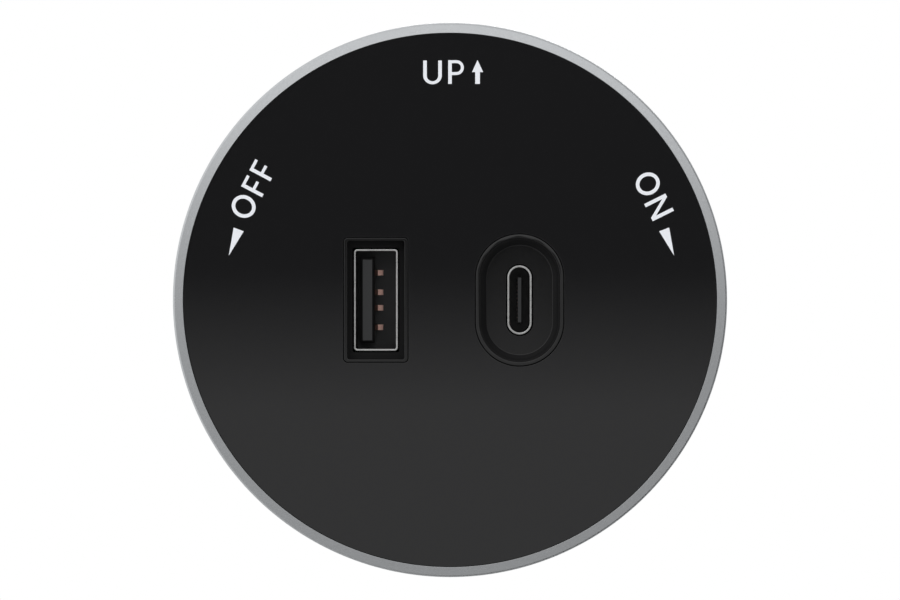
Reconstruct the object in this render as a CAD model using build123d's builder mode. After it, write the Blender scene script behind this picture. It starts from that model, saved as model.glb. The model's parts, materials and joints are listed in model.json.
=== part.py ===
from build123d import *
import math
import os

# A power track USB socket: a round socket with one USB-A and one USB-C port. Its guide plate keys into
# the slot of a power track, and the rest is turned a quarter turn on that plate, which carries the T-shaped
# contact head behind the lips of the track and switches the socket on.
# Millimetres. +Z is the UP mark, -Y is the face. The origin lies on the turning axis, in the plane where
# the guide plate seats on the track. Levels count forwards from that plane, so the track side is below zero.

# Clearances
fixed_gap = 0.05  # between pieces that are fixed together
turn_gap = 0.1  # between faces that turn on each other
slide_gap = 0.15  # round a contact shoe, on each side
loose_gap = 0.3  # between pieces that only pass each other

# Trim ring
ring_dia = 71.0
ring_wall = 1.3
ring_front = 36.0
ring_back = 12.0
ring_fall = 0.25  # how far the front of the ring falls away to its outer edge
ring_edge = 0.2
ledge_reach = 1.2  # inner ledge that the front chassis and the housing clamp
ledge_thick = 2.0

# Face plate
face_recess = 0.15
face_thick = 2.05

# USB-A port
usb_a_x = -9.49
a_well_side_gap = 0.8  # from the shell to the side of the well
a_well_end_gap = 1.05  # from the shell to its top and bottom
a_collar_rim = 0.45  # round the well, at the sides
a_collar_end = 0.35  # at the top and bottom
a_collar_round = 0.5
a_collar_break = 0.05
a_face_gap = 0.15
a_well_step = 0.12  # the collar's thicker ends
a_shell_wide = 5.7
a_shell_tall = 13.1
a_shell_round = 0.5
shell_wall = 0.3
shell_slack = 0.15  # round both shells in the collars and the chassis
a_tongue_wide = 1.86
a_tongue_tall = 11.0
a_tongue_shift = -1.09  # from the middle of the port
a_tongue_long = 8.4
a_tongue_edge = 0.33
a_contact_wide = 0.7
a_contact_thick = 0.25
a_contact_outer = 3.5  # from the middle to the power contacts
a_contact_inner = 1.0  # from the middle to the data contacts
a_contact_bow = 1.08  # how far a contact stands off the tongue
a_contact_crest = 3.1  # behind the tip of the tongue
a_contact_flat = 0.8
a_contact_knee = 0.5  # in front of the block, where a contact leaves the tongue
a_contact_bend = 2.55  # behind the tip of the tongue, where a contact turns back to it
a_contact_bend_off = 0.3  # off the tongue at that bend
a_contact_tip = 1.0  # behind the tip of the tongue
a_contact_tuck = 0.06  # how far its tip is sunk in the tongue
a_groove_wide = 0.9
a_groove_deep = 0.3
a_groove_front = 0.66  # behind the tip of the tongue
contact_tail = 0.7  # a tail stands out behind the port board

# USB-C port
usb_c_x = 8.92
c_collar_wide = 11.3
c_collar_tall = 16.9
c_collar_lip = 0.45
c_collar_slope = 0.97
c_face_gap = 0.08
c_lip_round = 0.15
c_shell_wide = 3.17
c_shell_tall = 8.92
c_tongue_thick = 0.6
c_tongue_tall = 5.9
c_tongue_long = 5.9
c_tongue_edge = 0.1
c_pad_count = 12
c_pad_step = 0.5
c_pad_wide = 0.25
c_pad_thick = 0.08
c_pad_long = 4.0
c_pad_back = 0.6  # behind the tip of the tongue

# What both ports share
collar_floor_thick = 0.8
shell_proud = 0.15  # the shells end this far above the collar floors
tongue_back = 0.45  # the tongues end this far inside the shells
leg_wide = 1.6
a_leg_z = 4.0
c_leg_z = 2.2
leg_slack = 0.15

# Front chassis
web_thick = 1.8
sleeve_wall = 1.2
sleeve_deep = 6.0
rim_deep = 4.0
rim_wall = 1.6
post_dia = 6.0
post_angle = 45.0
post_end = 9.0
board_post_dia = 4.6
board_post_in_x = 3.5  # from the sides of the port board
board_post_in_z = 3.0  # from its top and bottom

# Boards
board_thick = 1.6
port_board_front = 21.0
port_board_wide = 44.0
port_board_tall = 24.0
port_board_round = 2.0
power_board_room = 1.1  # between the power board and the wall round it
power_board_back = 8.2
post_notch = 0.9  # round each long post

# Parts on the port board
chip_side = 5.0
chip_thick = 0.9
chip_spots = ((-2.5, 5.5), (-2.5, -5.5))
out_cap_dia = 6.3
out_cap_tall = 7.0
out_cap_x = -16.2
out_cap_z = 3.6
header_x = 16.5
header_step = 2.54
header_rows = 4
header_columns = 2
header_tall = 2.5
pin_side = 0.64
pin_slack = 0.06
pin_hole_dia = 1.1
pin_out = 0.7

# Parts on the power board
core_wide = 16.0
core_deep = 5.0
core_tall = 8.0
core_yoke = 1.9
core_limb = 1.1
core_middle = 2.4
coil_deep = 11.0
coil_round = 1.0
in_cap_dia = 10.0
in_cap_tall = 16.0
in_cap_in = 11.0  # from the edge of the board to the middle, as for the next ones
cap_groove = 0.5  # the bead rolled in near a capacitor's foot
cap_groove_up = 2.0
fuse_dia = 3.6
fuse_long = 8.0
fuse_x = 9.6
fuse_in = 9.0
fuse_band = 2.2
fuse_step = 0.15
rectifier_x = -8.8
rectifier_in = 9.5
rectifier_wide = 6.4
rectifier_deep = 5.4
rectifier_tall = 2.4
rectifier_edge = 0.3
choke_in = 11.0
choke_dia = 11.0
choke_bore = 5.0
choke_tall = 5.0
choke_round = 1.0

# Rear housing
housing_step = 0.3  # the housing stands in from the ring
housing_wall = 2.0
housing_back = 0.6
housing_edge = 0.6
pocket_floor = 4.5  # the guide plate turns in a pocket of this depth
pocket_wall = 1.7
pocket_skin = 0.8  # between the pocket and the holes of the housing's screws
screw_boss_dia = 7.0
screw_sunk = 2.8  # from the back of the housing to the seats of its screws
pivot_back = 2.0
standoff_dia = 4.4
standoff_web = 0.1  # between a standoff and the notch round a long post
sheet_room = 0.5  # between the insulation sheet and the bosses
sheet_thick = 0.4

# Guide plate
slot_wide = 12.0  # the slot of the track
plate_floor = 0.2  # between the plate and the floor of the pocket
plate_band = 8.0  # width of the plate round the flange
flange_back = 0.3
flange_grip = 2.8  # how far the flange reaches over the plate
rib_inset = 0.8  # from the ends of a rib to the edges of the plate
rib_play = 0.2  # in the slot, on each side
rib_tall = 2.2
rib_edge = 0.5
key_step = 1.0  # the upper side of each rib is wider, so the plate goes in one way up
key_tall = 1.0
key_trim = 0.6
turn_angle = 90.0
lug_dia = 3.0
lug_rest = 135.0  # where the stop lug stands when the socket is off
lug_tall = 1.8
lug_slack = 0.2
slot_deep = 2.0

# Detent spring
leaf_long = 12.0
leaf_wide = 4.0
leaf_thick = 0.3
leaf_rise = 1.9
leaf_pocket_deep = 1.6
leaf_slack = 0.25
leaf_end_slack = 1.0  # the ends slide outwards as the leaf is pressed flat

# Contact head
bar_play = 0.4  # in the slot, on each side
neck_step = 0.2  # the neck stands in from the sides of the T-bar
bore_dia = 7.2
lip_room = 3.4  # from the track face to the shoulder of the T-bar
bar_long = 31.0
bar_deep = 12.0
bar_edge = 0.6
bar_front_wall = 1.8
bar_side_wall = 1.2
bar_end_wall = 1.9
cap_thick = 1.5
cap_boss_dia = 3.4
cap_boss_in = 1.1  # from the wall of the T-bar's room to the middle of a boss

# Contact shoes, at both ends of the T-bar
shoe_side_room = 0.4  # beside the flange of a shoe
shoe_end_room = 0.85  # before and behind it
shoulder_side = 1.0  # the flange stands out round the nose
shoulder_end = 1.2
nose_out = 1.2
nose_round = 0.9
shoe_flange_thick = 2.0
spring_dia = 4.4
spring_wire = 0.45
spring_turns = 4
terminal_thick = 0.6
terminal_room = 0.8  # beside a terminal
terminal_short = 1.3  # between a terminal and the cap
terminal_out = 5.7  # from the axis to the back of the spring seat
tab_wide = 3.2
tab_over = 0.4  # a terminal's tab goes on past its lead
divider_thick = 1.0
lead_dia = 1.6
lead_room = 0.2  # between a lead and the wall of the bore

# Screws: head diameter, head height, core diameter, length under the head
housing_screw = (4.8, 2.2, 2.3, 14.0)
board_screw = (3.8, 1.3, 1.8, 6.0)
power_screw = (3.8, 1.3, 1.8, 4.0)
head_screw = (4.2, 1.0, 2.0, 5.0)
cap_screw = (3.4, 0.9, 1.8, 6.0)
head_screw_in = 3.05  # from the rim of the pivot
head_screw_angle = 60.0  # from the horizontal
thread_gap = 0.05
head_gap = 0.3
shank_gap = 0.25
hole_spare = 0.6  # a blind hole goes on past its screw
recess_arm = 0.28  # arm of the cross recess, as a share of the head's diameter
recess_bar = 0.1  # half its width, likewise
recess_deep = 0.5  # its depth, as a share of the head's height
head_round = 0.33  # rounding of a pan head, as a share of its height

# Worked out from the sizes above
ring_out = ring_dia / 2
ring_in = ring_out - ring_wall
face_front = ring_front - face_recess
face_back = face_front - face_thick
web_back = face_back - web_thick
ledge_back = web_back - ledge_thick
ledge_in = ring_in - ledge_reach
mouth_r = ring_in - fixed_gap
collar_floor = face_back + collar_floor_thick
shell_front = collar_floor + shell_proud
tongue_front = shell_front - tongue_back
port_board_back = port_board_front - board_thick
power_board_front = power_board_back + board_thick
spigot_r = ring_in - 2 * fixed_gap
cup_r = spigot_r - housing_wall
rim_r = cup_r - loose_gap
post_r = rim_r - post_dia / 2
power_board_r = cup_r - power_board_room
standoff_r = post_r - post_dia / 2 - post_notch - standoff_web - standoff_dia / 2
housing_r = ring_out - housing_step
pocket_r = post_r - housing_screw[0] / 2 - head_gap - pocket_skin
plate_r = pocket_r - loose_gap
sheet_r = post_r - screw_boss_dia / 2 - sheet_room
plate_front = pocket_floor - plate_floor
flange_front = pivot_back
web_seat = flange_front + turn_gap
cup_floor = pocket_floor + pocket_wall
trough_floor = housing_back + housing_wall
screw_seat = housing_back + screw_sunk
counterbore_r = plate_r - plate_band
flange_r = counterbore_r - loose_gap
pivot_r = flange_r - flange_grip
plate_bore_r = pivot_r + turn_gap
head_screw_r = pivot_r - head_screw_in
rib_from = counterbore_r + rib_inset
rib_to = plate_r - rib_inset
rib_wide = slot_wide - 2 * rib_play
band_r = (counterbore_r + plate_r) / 2  # the circle of the stop lug and the detent spring
bar_wide = slot_wide - 2 * bar_play
neck_dia = bar_wide - 2 * neck_step
bar_front = -lip_room
bar_back = bar_front - bar_deep
bar_r = bar_long / 2
cap_front = bar_back + cap_thick
room_front = bar_front - bar_front_wall
room_half = bar_wide / 2 - bar_side_wall
room_end = bar_r - bar_end_wall
cap_boss_z = room_half - cap_boss_in
shoe_level = (room_front + cap_front) / 2
shoe_flange_wide = 2 * (room_half - shoe_side_room)
shoe_flange_tall = room_front - cap_front - 2 * shoe_end_room
nose_wide = shoe_flange_wide - 2 * shoulder_side
nose_tall = shoe_flange_tall - 2 * shoulder_end
nose_tip = bar_r + nose_out
flange_out = room_end - turn_gap
flange_in = flange_out - shoe_flange_thick
spring_from = terminal_out + terminal_thick
terminal_wide = 2 * (room_half - terminal_room)
terminal_low = cap_front + terminal_short
lead_x = (bore_dia - lead_dia) / 2 - lead_room
tab_in = lead_x - lead_dia / 2 - tab_over
a_well_wide = a_shell_wide + 2 * a_well_side_gap
a_well_tall = a_shell_tall + 2 * a_well_end_gap
a_collar_wide = a_well_wide + 2 * a_collar_rim
a_collar_tall = a_well_tall + 2 * a_collar_end
board_post_x = port_board_wide / 2 - board_post_in_x
board_post_z = port_board_tall / 2 - board_post_in_z
in_cap_z = in_cap_in - power_board_r
fuse_z = fuse_in - power_board_r
rectifier_z = rectifier_in - power_board_r
choke_z = power_board_r - choke_in

# The plane of a turned profile: across is the radius, up is the level
lathe = Plane(origin=(0, 0, 0), x_dir=(1, 0, 0), z_dir=(0, 0, -1))


def on_diagonals(radius):
    # Four spots round the axis, in line with the long posts
    turns = [math.radians(post_angle + 90 * n) for n in range(4)]
    return [(radius * math.cos(turn), radius * math.sin(turn)) for turn in turns]


post_spots = on_diagonals(post_r)
standoff_spots = on_diagonals(standoff_r)
board_spots = [(x, z) for x in (-board_post_x, board_post_x) for z in (-board_post_z, board_post_z)]
head_screw_spots = [
    (
        across * head_screw_r * math.cos(math.radians(head_screw_angle)),
        up * head_screw_r * math.sin(math.radians(head_screw_angle)),
    )
    for across in (-1, 1)
    for up in (-1, 1)
]
cap_spots = [(0, -cap_boss_z), (0, cap_boss_z)]
a_leg_spots = [
    (usb_a_x + side * (a_shell_wide - shell_wall) / 2, end * a_leg_z) for side in (-1, 1) for end in (-1, 1)
]
c_leg_spots = [
    (usb_c_x + side * (c_shell_wide - shell_wall) / 2, end * c_leg_z) for side in (-1, 1) for end in (-1, 1)
]
a_contact_spots = (-a_contact_outer, -a_contact_inner, a_contact_inner, a_contact_outer)
a_contact_x = usb_a_x + a_tongue_shift + a_tongue_wide / 2

os.makedirs("parts", exist_ok=True)


def level(height):
    # The plane square to the turning axis at a level; it looks forwards
    return Plane.XZ.offset(height)


def save(piece, name):
    piece.part.label = name
    export_step(piece.part, f"parts/{name}.step")


def pan_screws(seat, towards, spots, size):
    # A set of screws with their heads seated at one level; towards is 1 for forwards and -1 for backwards
    head_dia, head_tall, core_dia, length = size
    with BuildPart() as screws:
        with BuildSketch(level(seat - towards * head_tall)):
            with Locations(*spots):
                Circle(head_dia / 2)
        extrude(amount=towards * head_tall)
        heads = screws.edges().filter_by(GeomType.CIRCLE).sort_by(Axis.Y)
        tops = heads[-len(spots):] if towards > 0 else heads[: len(spots)]
        fillet(tops, radius=head_tall * head_round)
        with BuildSketch(level(seat)):
            with Locations(*spots):
                Circle(core_dia / 2)
        extrude(amount=towards * length)
        with BuildSketch(level(seat - towards * head_tall)):
            with Locations(*spots):
                Rectangle(2 * recess_arm * head_dia, 2 * recess_bar * head_dia)
                Rectangle(2 * recess_bar * head_dia, 2 * recess_arm * head_dia)
        extrude(amount=towards * head_tall * recess_deep, mode=Mode.SUBTRACT)
    return screws


def sunk_screws(top, towards, spots, size):
    # A set of countersunk screws with their heads flush at one level
    head_dia, head_tall, core_dia, length = size
    end = top + towards * head_tall
    with BuildPart() as screws:
        for spot in spots:
            with BuildSketch(level(top)):
                with Locations(spot):
                    Circle(head_dia / 2)
            with BuildSketch(level(end)):
                with Locations(spot):
                    Circle(core_dia / 2)
            loft()
        with BuildSketch(level(end)):
            with Locations(*spots):
                Circle(core_dia / 2)
        extrude(amount=towards * (length - head_tall))
        with BuildSketch(level(top)):
            with Locations(*spots):
                Rectangle(2 * recess_arm * head_dia, 2 * recess_bar * head_dia)
                Rectangle(2 * recess_bar * head_dia, 2 * recess_arm * head_dia)
        extrude(amount=towards * head_tall * recess_deep, mode=Mode.SUBTRACT)
    return screws


# Trim ring: a turned tube with a domed front and an inner ledge
with BuildPart() as trim_ring:
    with BuildSketch(lathe):
        with BuildLine():
            Polyline(
                (ring_in, ring_back),
                (ring_out, ring_back),
                (ring_out, ring_front - ring_fall - ring_edge),
                (ring_out - ring_edge, ring_front - ring_fall),
                (ring_in, ring_front),
                (ring_in, web_back),
                (ledge_in, web_back),
                (ledge_in, ledge_back),
                (ring_in, ledge_back),
                close=True,
            )
        make_face()
    revolve(axis=Axis.Y)
save(trim_ring, "trim_ring")

# Face plate, cut out round both collars
with BuildPart() as face_plate:
    with BuildSketch(level(face_back)):
        Circle(mouth_r)
        with Locations((usb_a_x, 0)):
            RectangleRounded(
                a_collar_wide + 2 * a_face_gap,
                a_collar_tall + 2 * a_face_gap,
                a_collar_round + a_face_gap,
                mode=Mode.SUBTRACT,
            )
        with Locations((usb_c_x, 0)):
            SlotOverall(
                c_collar_tall + 2 * c_face_gap,
                c_collar_wide + 2 * c_face_gap,
                rotation=90,
                mode=Mode.SUBTRACT,
            )
    extrude(amount=face_thick)
save(face_plate, "face_plate")

# USB-A collar: a straight well with thicker ends beside the shell
with BuildPart() as usb_a_collar:
    with BuildSketch(level(face_back)):
        with Locations((usb_a_x, 0)):
            RectangleRounded(a_collar_wide, a_collar_tall, a_collar_round)
            Rectangle(a_shell_wide + 2 * shell_slack, a_shell_tall + 2 * shell_slack, mode=Mode.SUBTRACT)
    extrude(amount=face_thick)
    with BuildSketch(level(collar_floor)):
        with Locations((usb_a_x, 0)):
            Rectangle(a_well_wide, a_well_tall)
    extrude(amount=face_front - collar_floor, mode=Mode.SUBTRACT)
    with BuildSketch(level(collar_floor)):
        with Locations((usb_a_x, 0)):
            Rectangle(a_well_wide, a_well_tall)
            Rectangle(a_well_wide, a_shell_tall + 2 * shell_slack, mode=Mode.SUBTRACT)
    extrude(amount=a_well_step)
    rim_edges = usb_a_collar.edges().filter_by(Axis.Y, reverse=True).group_by(Axis.Y)[0]
    chamfer(rim_edges, length=a_collar_break)
save(usb_a_collar, "usb_a_collar")

# USB-C collar: a long round dish with a rolled lip
with BuildPart() as usb_c_collar:
    with BuildSketch(level(face_back)):
        with Locations((usb_c_x, 0)):
            SlotOverall(c_collar_tall, c_collar_wide, rotation=90)
    extrude(amount=face_thick)
    fillet(usb_c_collar.faces().sort_by(Axis.Y)[0].edges(), radius=c_lip_round)
    with BuildSketch(level(collar_floor)):
        with Locations((usb_c_x, 0)):
            narrow = 2 * (c_collar_lip + c_collar_slope)
            SlotOverall(c_collar_tall - narrow, c_collar_wide - narrow, rotation=90)
    with BuildSketch(level(face_front)):
        with Locations((usb_c_x, 0)):
            SlotOverall(c_collar_tall - 2 * c_collar_lip, c_collar_wide - 2 * c_collar_lip, rotation=90)
    loft(ruled=True, mode=Mode.SUBTRACT)
    with BuildSketch(level(face_back)):
        with Locations((usb_c_x, 0)):
            SlotOverall(c_shell_tall + 2 * shell_slack, c_shell_wide + 2 * shell_slack, rotation=90)
    extrude(amount=face_thick, mode=Mode.SUBTRACT)
save(usb_c_collar, "usb_c_collar")

# USB-A shell: a folded steel box that stands on the port board with four legs
with BuildPart() as usb_a_shell:
    with BuildSketch(level(port_board_front)):
        with Locations((usb_a_x, 0)):
            RectangleRounded(a_shell_wide, a_shell_tall, a_shell_round)
            RectangleRounded(
                a_shell_wide - 2 * shell_wall,
                a_shell_tall - 2 * shell_wall,
                a_shell_round - shell_wall,
                mode=Mode.SUBTRACT,
            )
    extrude(amount=shell_front - port_board_front)
    with BuildSketch(level(port_board_back - contact_tail)):
        with Locations(*a_leg_spots):
            Rectangle(shell_wall, leg_wide)
    extrude(amount=board_thick + contact_tail)
save(usb_a_shell, "usb_a_shell")

# USB-A tongue: the block that fills the back of the shell, with the tongue that a plug slides over
block_front = tongue_front - a_tongue_long
with BuildPart() as usb_a_tongue:
    with BuildSketch(level(port_board_front)):
        with Locations((usb_a_x, 0)):
            inner = shell_wall + fixed_gap
            Rectangle(a_shell_wide - 2 * inner, a_shell_tall - 2 * inner)
    extrude(amount=block_front - port_board_front)
    # The block's corners clear the rounded corners of the shell
    chamfer(usb_a_tongue.edges().filter_by(Axis.Y), length=a_shell_round - shell_wall)
    with BuildSketch(level(block_front)):
        with Locations((usb_a_x + a_tongue_shift, 0)):
            Rectangle(a_tongue_wide, a_tongue_tall)
    extrude(amount=a_tongue_long)
    chamfer(usb_a_tongue.faces().sort_by(Axis.Y)[0].edges(), length=a_tongue_edge)
    # Slots for the contacts' tails, and a groove that holds their tips
    with BuildSketch(level(port_board_front)):
        for z in a_contact_spots:
            with Locations((a_contact_x + a_contact_thick / 2 + fixed_gap, z)):
                Rectangle(a_contact_thick + 2 * fixed_gap, a_contact_wide + 2 * fixed_gap)
    extrude(amount=block_front - port_board_front, mode=Mode.SUBTRACT)
    with BuildSketch(level(tongue_front - a_contact_crest)):
        for z in a_contact_spots:
            with Locations((a_contact_x, z)):
                Rectangle(2 * a_groove_deep, a_groove_wide)
    extrude(amount=a_contact_crest - a_groove_front, mode=Mode.SUBTRACT)
save(usb_a_tongue, "usb_a_tongue")

# USB-A contacts: four bowed strips, from their tails through the board to tips tucked into the tongue
strip_x = a_contact_x + a_contact_thick / 2 + fixed_gap
crest_x = a_contact_x + a_contact_bow - a_contact_thick / 2
crest_level = tongue_front - a_contact_crest
with BuildPart() as usb_a_contacts:
    for z in a_contact_spots:
        with BuildSketch(lathe.offset(-z)):
            with BuildLine():
                FilletPolyline(
                    (strip_x, port_board_back - contact_tail),
                    (strip_x, block_front + a_contact_knee),
                    (crest_x, crest_level - a_contact_flat),
                    (crest_x, crest_level),
                    (a_contact_x + a_contact_bend_off, tongue_front - a_contact_bend),
                    (a_contact_x - a_contact_tuck, tongue_front - a_contact_tip),
                    radius=a_contact_thick,
                )
            trace(line_width=a_contact_thick)
        extrude(amount=a_contact_wide / 2, both=True)
save(usb_a_contacts, "usb_a_contacts")

# USB-C shell: a drawn steel tube with four legs
with BuildPart() as usb_c_shell:
    with BuildSketch(level(port_board_front)):
        with Locations((usb_c_x, 0)):
            SlotOverall(c_shell_tall, c_shell_wide, rotation=90)
            SlotOverall(
                c_shell_tall - 2 * shell_wall,
                c_shell_wide - 2 * shell_wall,
                rotation=90,
                mode=Mode.SUBTRACT,
            )
    extrude(amount=shell_front - port_board_front)
    with BuildSketch(level(port_board_back - contact_tail)):
        with Locations(*c_leg_spots):
            Rectangle(shell_wall, leg_wide)
    extrude(amount=board_thick + contact_tail)
save(usb_c_shell, "usb_c_shell")

# USB-C tongue and its base
c_base_front = tongue_front - c_tongue_long
with BuildPart() as usb_c_tongue:
    with BuildSketch(level(port_board_front)):
        with Locations((usb_c_x, 0)):
            inner = shell_wall + fixed_gap
            SlotOverall(c_shell_tall - 2 * inner, c_shell_wide - 2 * inner, rotation=90)
    extrude(amount=c_base_front - port_board_front)
    with BuildSketch(level(c_base_front)):
        with Locations((usb_c_x, 0)):
            Rectangle(c_tongue_thick, c_tongue_tall)
    extrude(amount=c_tongue_long)
    chamfer(usb_c_tongue.faces().sort_by(Axis.Y)[0].edges(), length=c_tongue_edge)
    # Behind its tip the tongue is thinner, so that the pads end flush with the tip
    with BuildSketch(level(c_base_front)):
        with Locations((usb_c_x, 0)):
            with GridLocations(c_tongue_thick, 1, 2, 1):
                Rectangle(2 * c_pad_thick, c_tongue_tall)
    extrude(amount=c_tongue_long - c_pad_back + fixed_gap, mode=Mode.SUBTRACT)
save(usb_c_tongue, "usb_c_tongue")

# USB-C contacts: a row of pads on each side of the tongue
with BuildPart() as usb_c_contacts:
    with BuildSketch(level(tongue_front - c_pad_back - c_pad_long)):
        with Locations((usb_c_x, 0)):
            with GridLocations(c_tongue_thick - c_pad_thick, c_pad_step, 2, c_pad_count):
                Rectangle(c_pad_thick, c_pad_wide)
    extrude(amount=c_pad_long)
save(usb_c_contacts, "usb_c_contacts")

# Front chassis: the web behind the face, sleeves round the shells, four long posts and four board posts
with BuildPart() as front_chassis:
    with BuildSketch(level(web_back)):
        Circle(mouth_r)
    extrude(amount=web_thick)
    with BuildSketch(level(web_back - rim_deep)):
        Circle(rim_r)
        Circle(rim_r - rim_wall, mode=Mode.SUBTRACT)
    extrude(amount=rim_deep)
    with BuildSketch(level(web_back - sleeve_deep)):
        sleeve = shell_slack + sleeve_wall
        with Locations((usb_a_x, 0)):
            RectangleRounded(a_shell_wide + 2 * sleeve, a_shell_tall + 2 * sleeve, sleeve)
        with Locations((usb_c_x, 0)):
            SlotOverall(c_shell_tall + 2 * sleeve, c_shell_wide + 2 * sleeve, rotation=90)
    extrude(amount=sleeve_deep)
    with BuildSketch(level(post_end)):
        with Locations(*post_spots):
            Circle(post_dia / 2)
    extrude(amount=web_back - post_end)
    with BuildSketch(level(port_board_front)):
        with Locations(*board_spots):
            Circle(board_post_dia / 2)
    extrude(amount=web_back - port_board_front)
    with BuildSketch(level(web_back - sleeve_deep)):
        with Locations((usb_a_x, 0)):
            Rectangle(a_shell_wide + 2 * shell_slack, a_shell_tall + 2 * shell_slack)
        with Locations((usb_c_x, 0)):
            SlotOverall(c_shell_tall + 2 * shell_slack, c_shell_wide + 2 * shell_slack, rotation=90)
    extrude(amount=sleeve_deep + web_thick, mode=Mode.SUBTRACT)
    with BuildSketch(level(post_end)):
        with Locations(*post_spots):
            Circle(housing_screw[2] / 2 + thread_gap)
    extrude(amount=housing_screw[3] - (post_end - screw_seat) + hole_spare, mode=Mode.SUBTRACT)
    with BuildSketch(level(port_board_front)):
        with Locations(*board_spots):
            Circle(board_screw[2] / 2 + thread_gap)
    extrude(amount=board_screw[3] - board_thick + hole_spare, mode=Mode.SUBTRACT)
save(front_chassis, "front_chassis")

# Port board
with BuildPart() as port_board:
    with BuildSketch(level(port_board_back)):
        RectangleRounded(port_board_wide, port_board_tall, port_board_round)
        with Locations(*board_spots):
            Circle(board_screw[2] / 2 + shank_gap, mode=Mode.SUBTRACT)
        with Locations(*a_leg_spots, *c_leg_spots):
            Rectangle(shell_wall + 2 * leg_slack, leg_wide + 2 * leg_slack, mode=Mode.SUBTRACT)
        for z in a_contact_spots:
            with Locations((strip_x, z)):
                hole = (a_contact_thick + 2 * leg_slack, a_contact_wide + 2 * leg_slack)
                Rectangle(*hole, mode=Mode.SUBTRACT)
        with Locations((header_x, 0)):
            with GridLocations(header_step, header_step, header_columns, header_rows):
                Circle(pin_hole_dia / 2, mode=Mode.SUBTRACT)
    extrude(amount=board_thick)
save(port_board, "port_board")
save(pan_screws(port_board_back, 1, board_spots, board_screw), "port_board_screws")

# Charge controllers, one for each port
with BuildPart() as charge_controllers:
    with BuildSketch(level(port_board_back - chip_thick)):
        with Locations(*chip_spots):
            Rectangle(chip_side, chip_side)
    extrude(amount=chip_thick)
save(charge_controllers, "charge_controllers")


def capacitor_cans(foot, towards, spots, dia, tall):
    # Standing capacitors with a rolled bead near the foot
    with BuildPart() as cans:
        with BuildSketch(level(foot)):
            with Locations(*spots):
                Circle(dia / 2)
        extrude(amount=towards * tall)
        with BuildSketch(level(foot + towards * cap_groove_up)):
            with Locations(*spots):
                Circle(dia / 2)
                Circle(dia / 2 - cap_groove, mode=Mode.SUBTRACT)
        extrude(amount=towards * cap_groove, mode=Mode.SUBTRACT)
        rounds = cans.edges().filter_by(GeomType.CIRCLE).sort_by(Axis.Y)
        fillet(rounds[: len(spots)] if towards > 0 else rounds[-len(spots):], radius=cap_groove)
    return cans


out_cap_spots = [(out_cap_x, -out_cap_z), (out_cap_x, out_cap_z)]
save(capacitor_cans(port_board_back, -1, out_cap_spots, out_cap_dia, out_cap_tall), "output_capacitors")

# Header between the boards, and its pins
with BuildPart() as header_body:
    with BuildSketch(level(power_board_front)):
        with Locations((header_x, 0)):
            Rectangle(header_columns * header_step, header_rows * header_step)
            with GridLocations(header_step, header_step, header_columns, header_rows):
                Rectangle(pin_side + 2 * pin_slack, pin_side + 2 * pin_slack, mode=Mode.SUBTRACT)
    extrude(amount=header_tall)
save(header_body, "header_body")
with BuildPart() as header_pins:
    with BuildSketch(level(power_board_back - pin_out)):
        with Locations((header_x, 0)):
            with GridLocations(header_step, header_step, header_columns, header_rows):
                Rectangle(pin_side, pin_side)
    extrude(amount=port_board_front - power_board_back + 2 * pin_out)
save(header_pins, "header_pins")

# Power board, notched round the long posts
with BuildPart() as power_board:
    with BuildSketch(level(power_board_back)):
        Circle(power_board_r)
        with Locations(*post_spots):
            Circle(post_dia / 2 + post_notch, mode=Mode.SUBTRACT)
        with Locations(*standoff_spots):
            Circle(power_screw[2] / 2 + shank_gap, mode=Mode.SUBTRACT)
        with Locations((header_x, 0)):
            with GridLocations(header_step, header_step, header_columns, header_rows):
                Circle(pin_hole_dia / 2, mode=Mode.SUBTRACT)
    extrude(amount=board_thick)
save(power_board, "power_board")
save(pan_screws(power_board_front, -1, standoff_spots, power_screw), "power_board_screws")

# Transformer: a core with two windows, and the winding on its middle limb
core_mid = power_board_front + core_tall / 2
window_tall = (core_tall - core_middle) / 2 - core_limb
with BuildPart() as transformer_core:
    with BuildSketch(lathe):
        with Locations((0, core_mid)):
            Rectangle(core_wide, core_tall)
            with GridLocations(1, core_middle + window_tall, 1, 2):
                Rectangle(core_wide - 2 * core_yoke, window_tall, mode=Mode.SUBTRACT)
    extrude(amount=core_deep / 2, both=True)
save(transformer_core, "transformer_core")
with BuildPart() as transformer_winding:
    with BuildSketch(Plane.YZ.offset(-core_wide / 2 + core_yoke + fixed_gap)):
        with Locations((-core_mid, 0)):
            RectangleRounded(core_middle + 2 * (window_tall - fixed_gap), coil_deep, coil_round)
            Rectangle(core_middle + 2 * fixed_gap, core_deep + 2 * fixed_gap, mode=Mode.SUBTRACT)
    extrude(amount=core_wide - 2 * (core_yoke + fixed_gap))
save(transformer_winding, "transformer_winding")

save(capacitor_cans(power_board_front, 1, [(0, in_cap_z)], in_cap_dia, in_cap_tall), "input_capacitor")

# Fuse: a tube with two end caps, lying on the board
with BuildPart() as fuse:
    with BuildSketch(Plane.YZ.offset(fuse_x - fuse_long / 2)):
        with Locations((-power_board_front - fuse_dia / 2, fuse_z)):
            Circle(fuse_dia / 2)
    extrude(amount=fuse_long)
    with BuildSketch(Plane.YZ.offset(fuse_x - fuse_long / 2 + fuse_band)):
        with Locations((-power_board_front - fuse_dia / 2, fuse_z)):
            Circle(fuse_dia / 2)
            Circle(fuse_dia / 2 - fuse_step, mode=Mode.SUBTRACT)
    extrude(amount=fuse_long - 2 * fuse_band, mode=Mode.SUBTRACT)
save(fuse, "fuse")

# Bridge rectifier
with BuildPart() as bridge_rectifier:
    with BuildSketch(level(power_board_front)):
        with Locations((rectifier_x, rectifier_z)):
            Rectangle(rectifier_wide, rectifier_deep)
    extrude(amount=rectifier_tall)
    chamfer(bridge_rectifier.edges().filter_by(Axis.Y), length=rectifier_edge)
save(bridge_rectifier, "bridge_rectifier")

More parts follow.
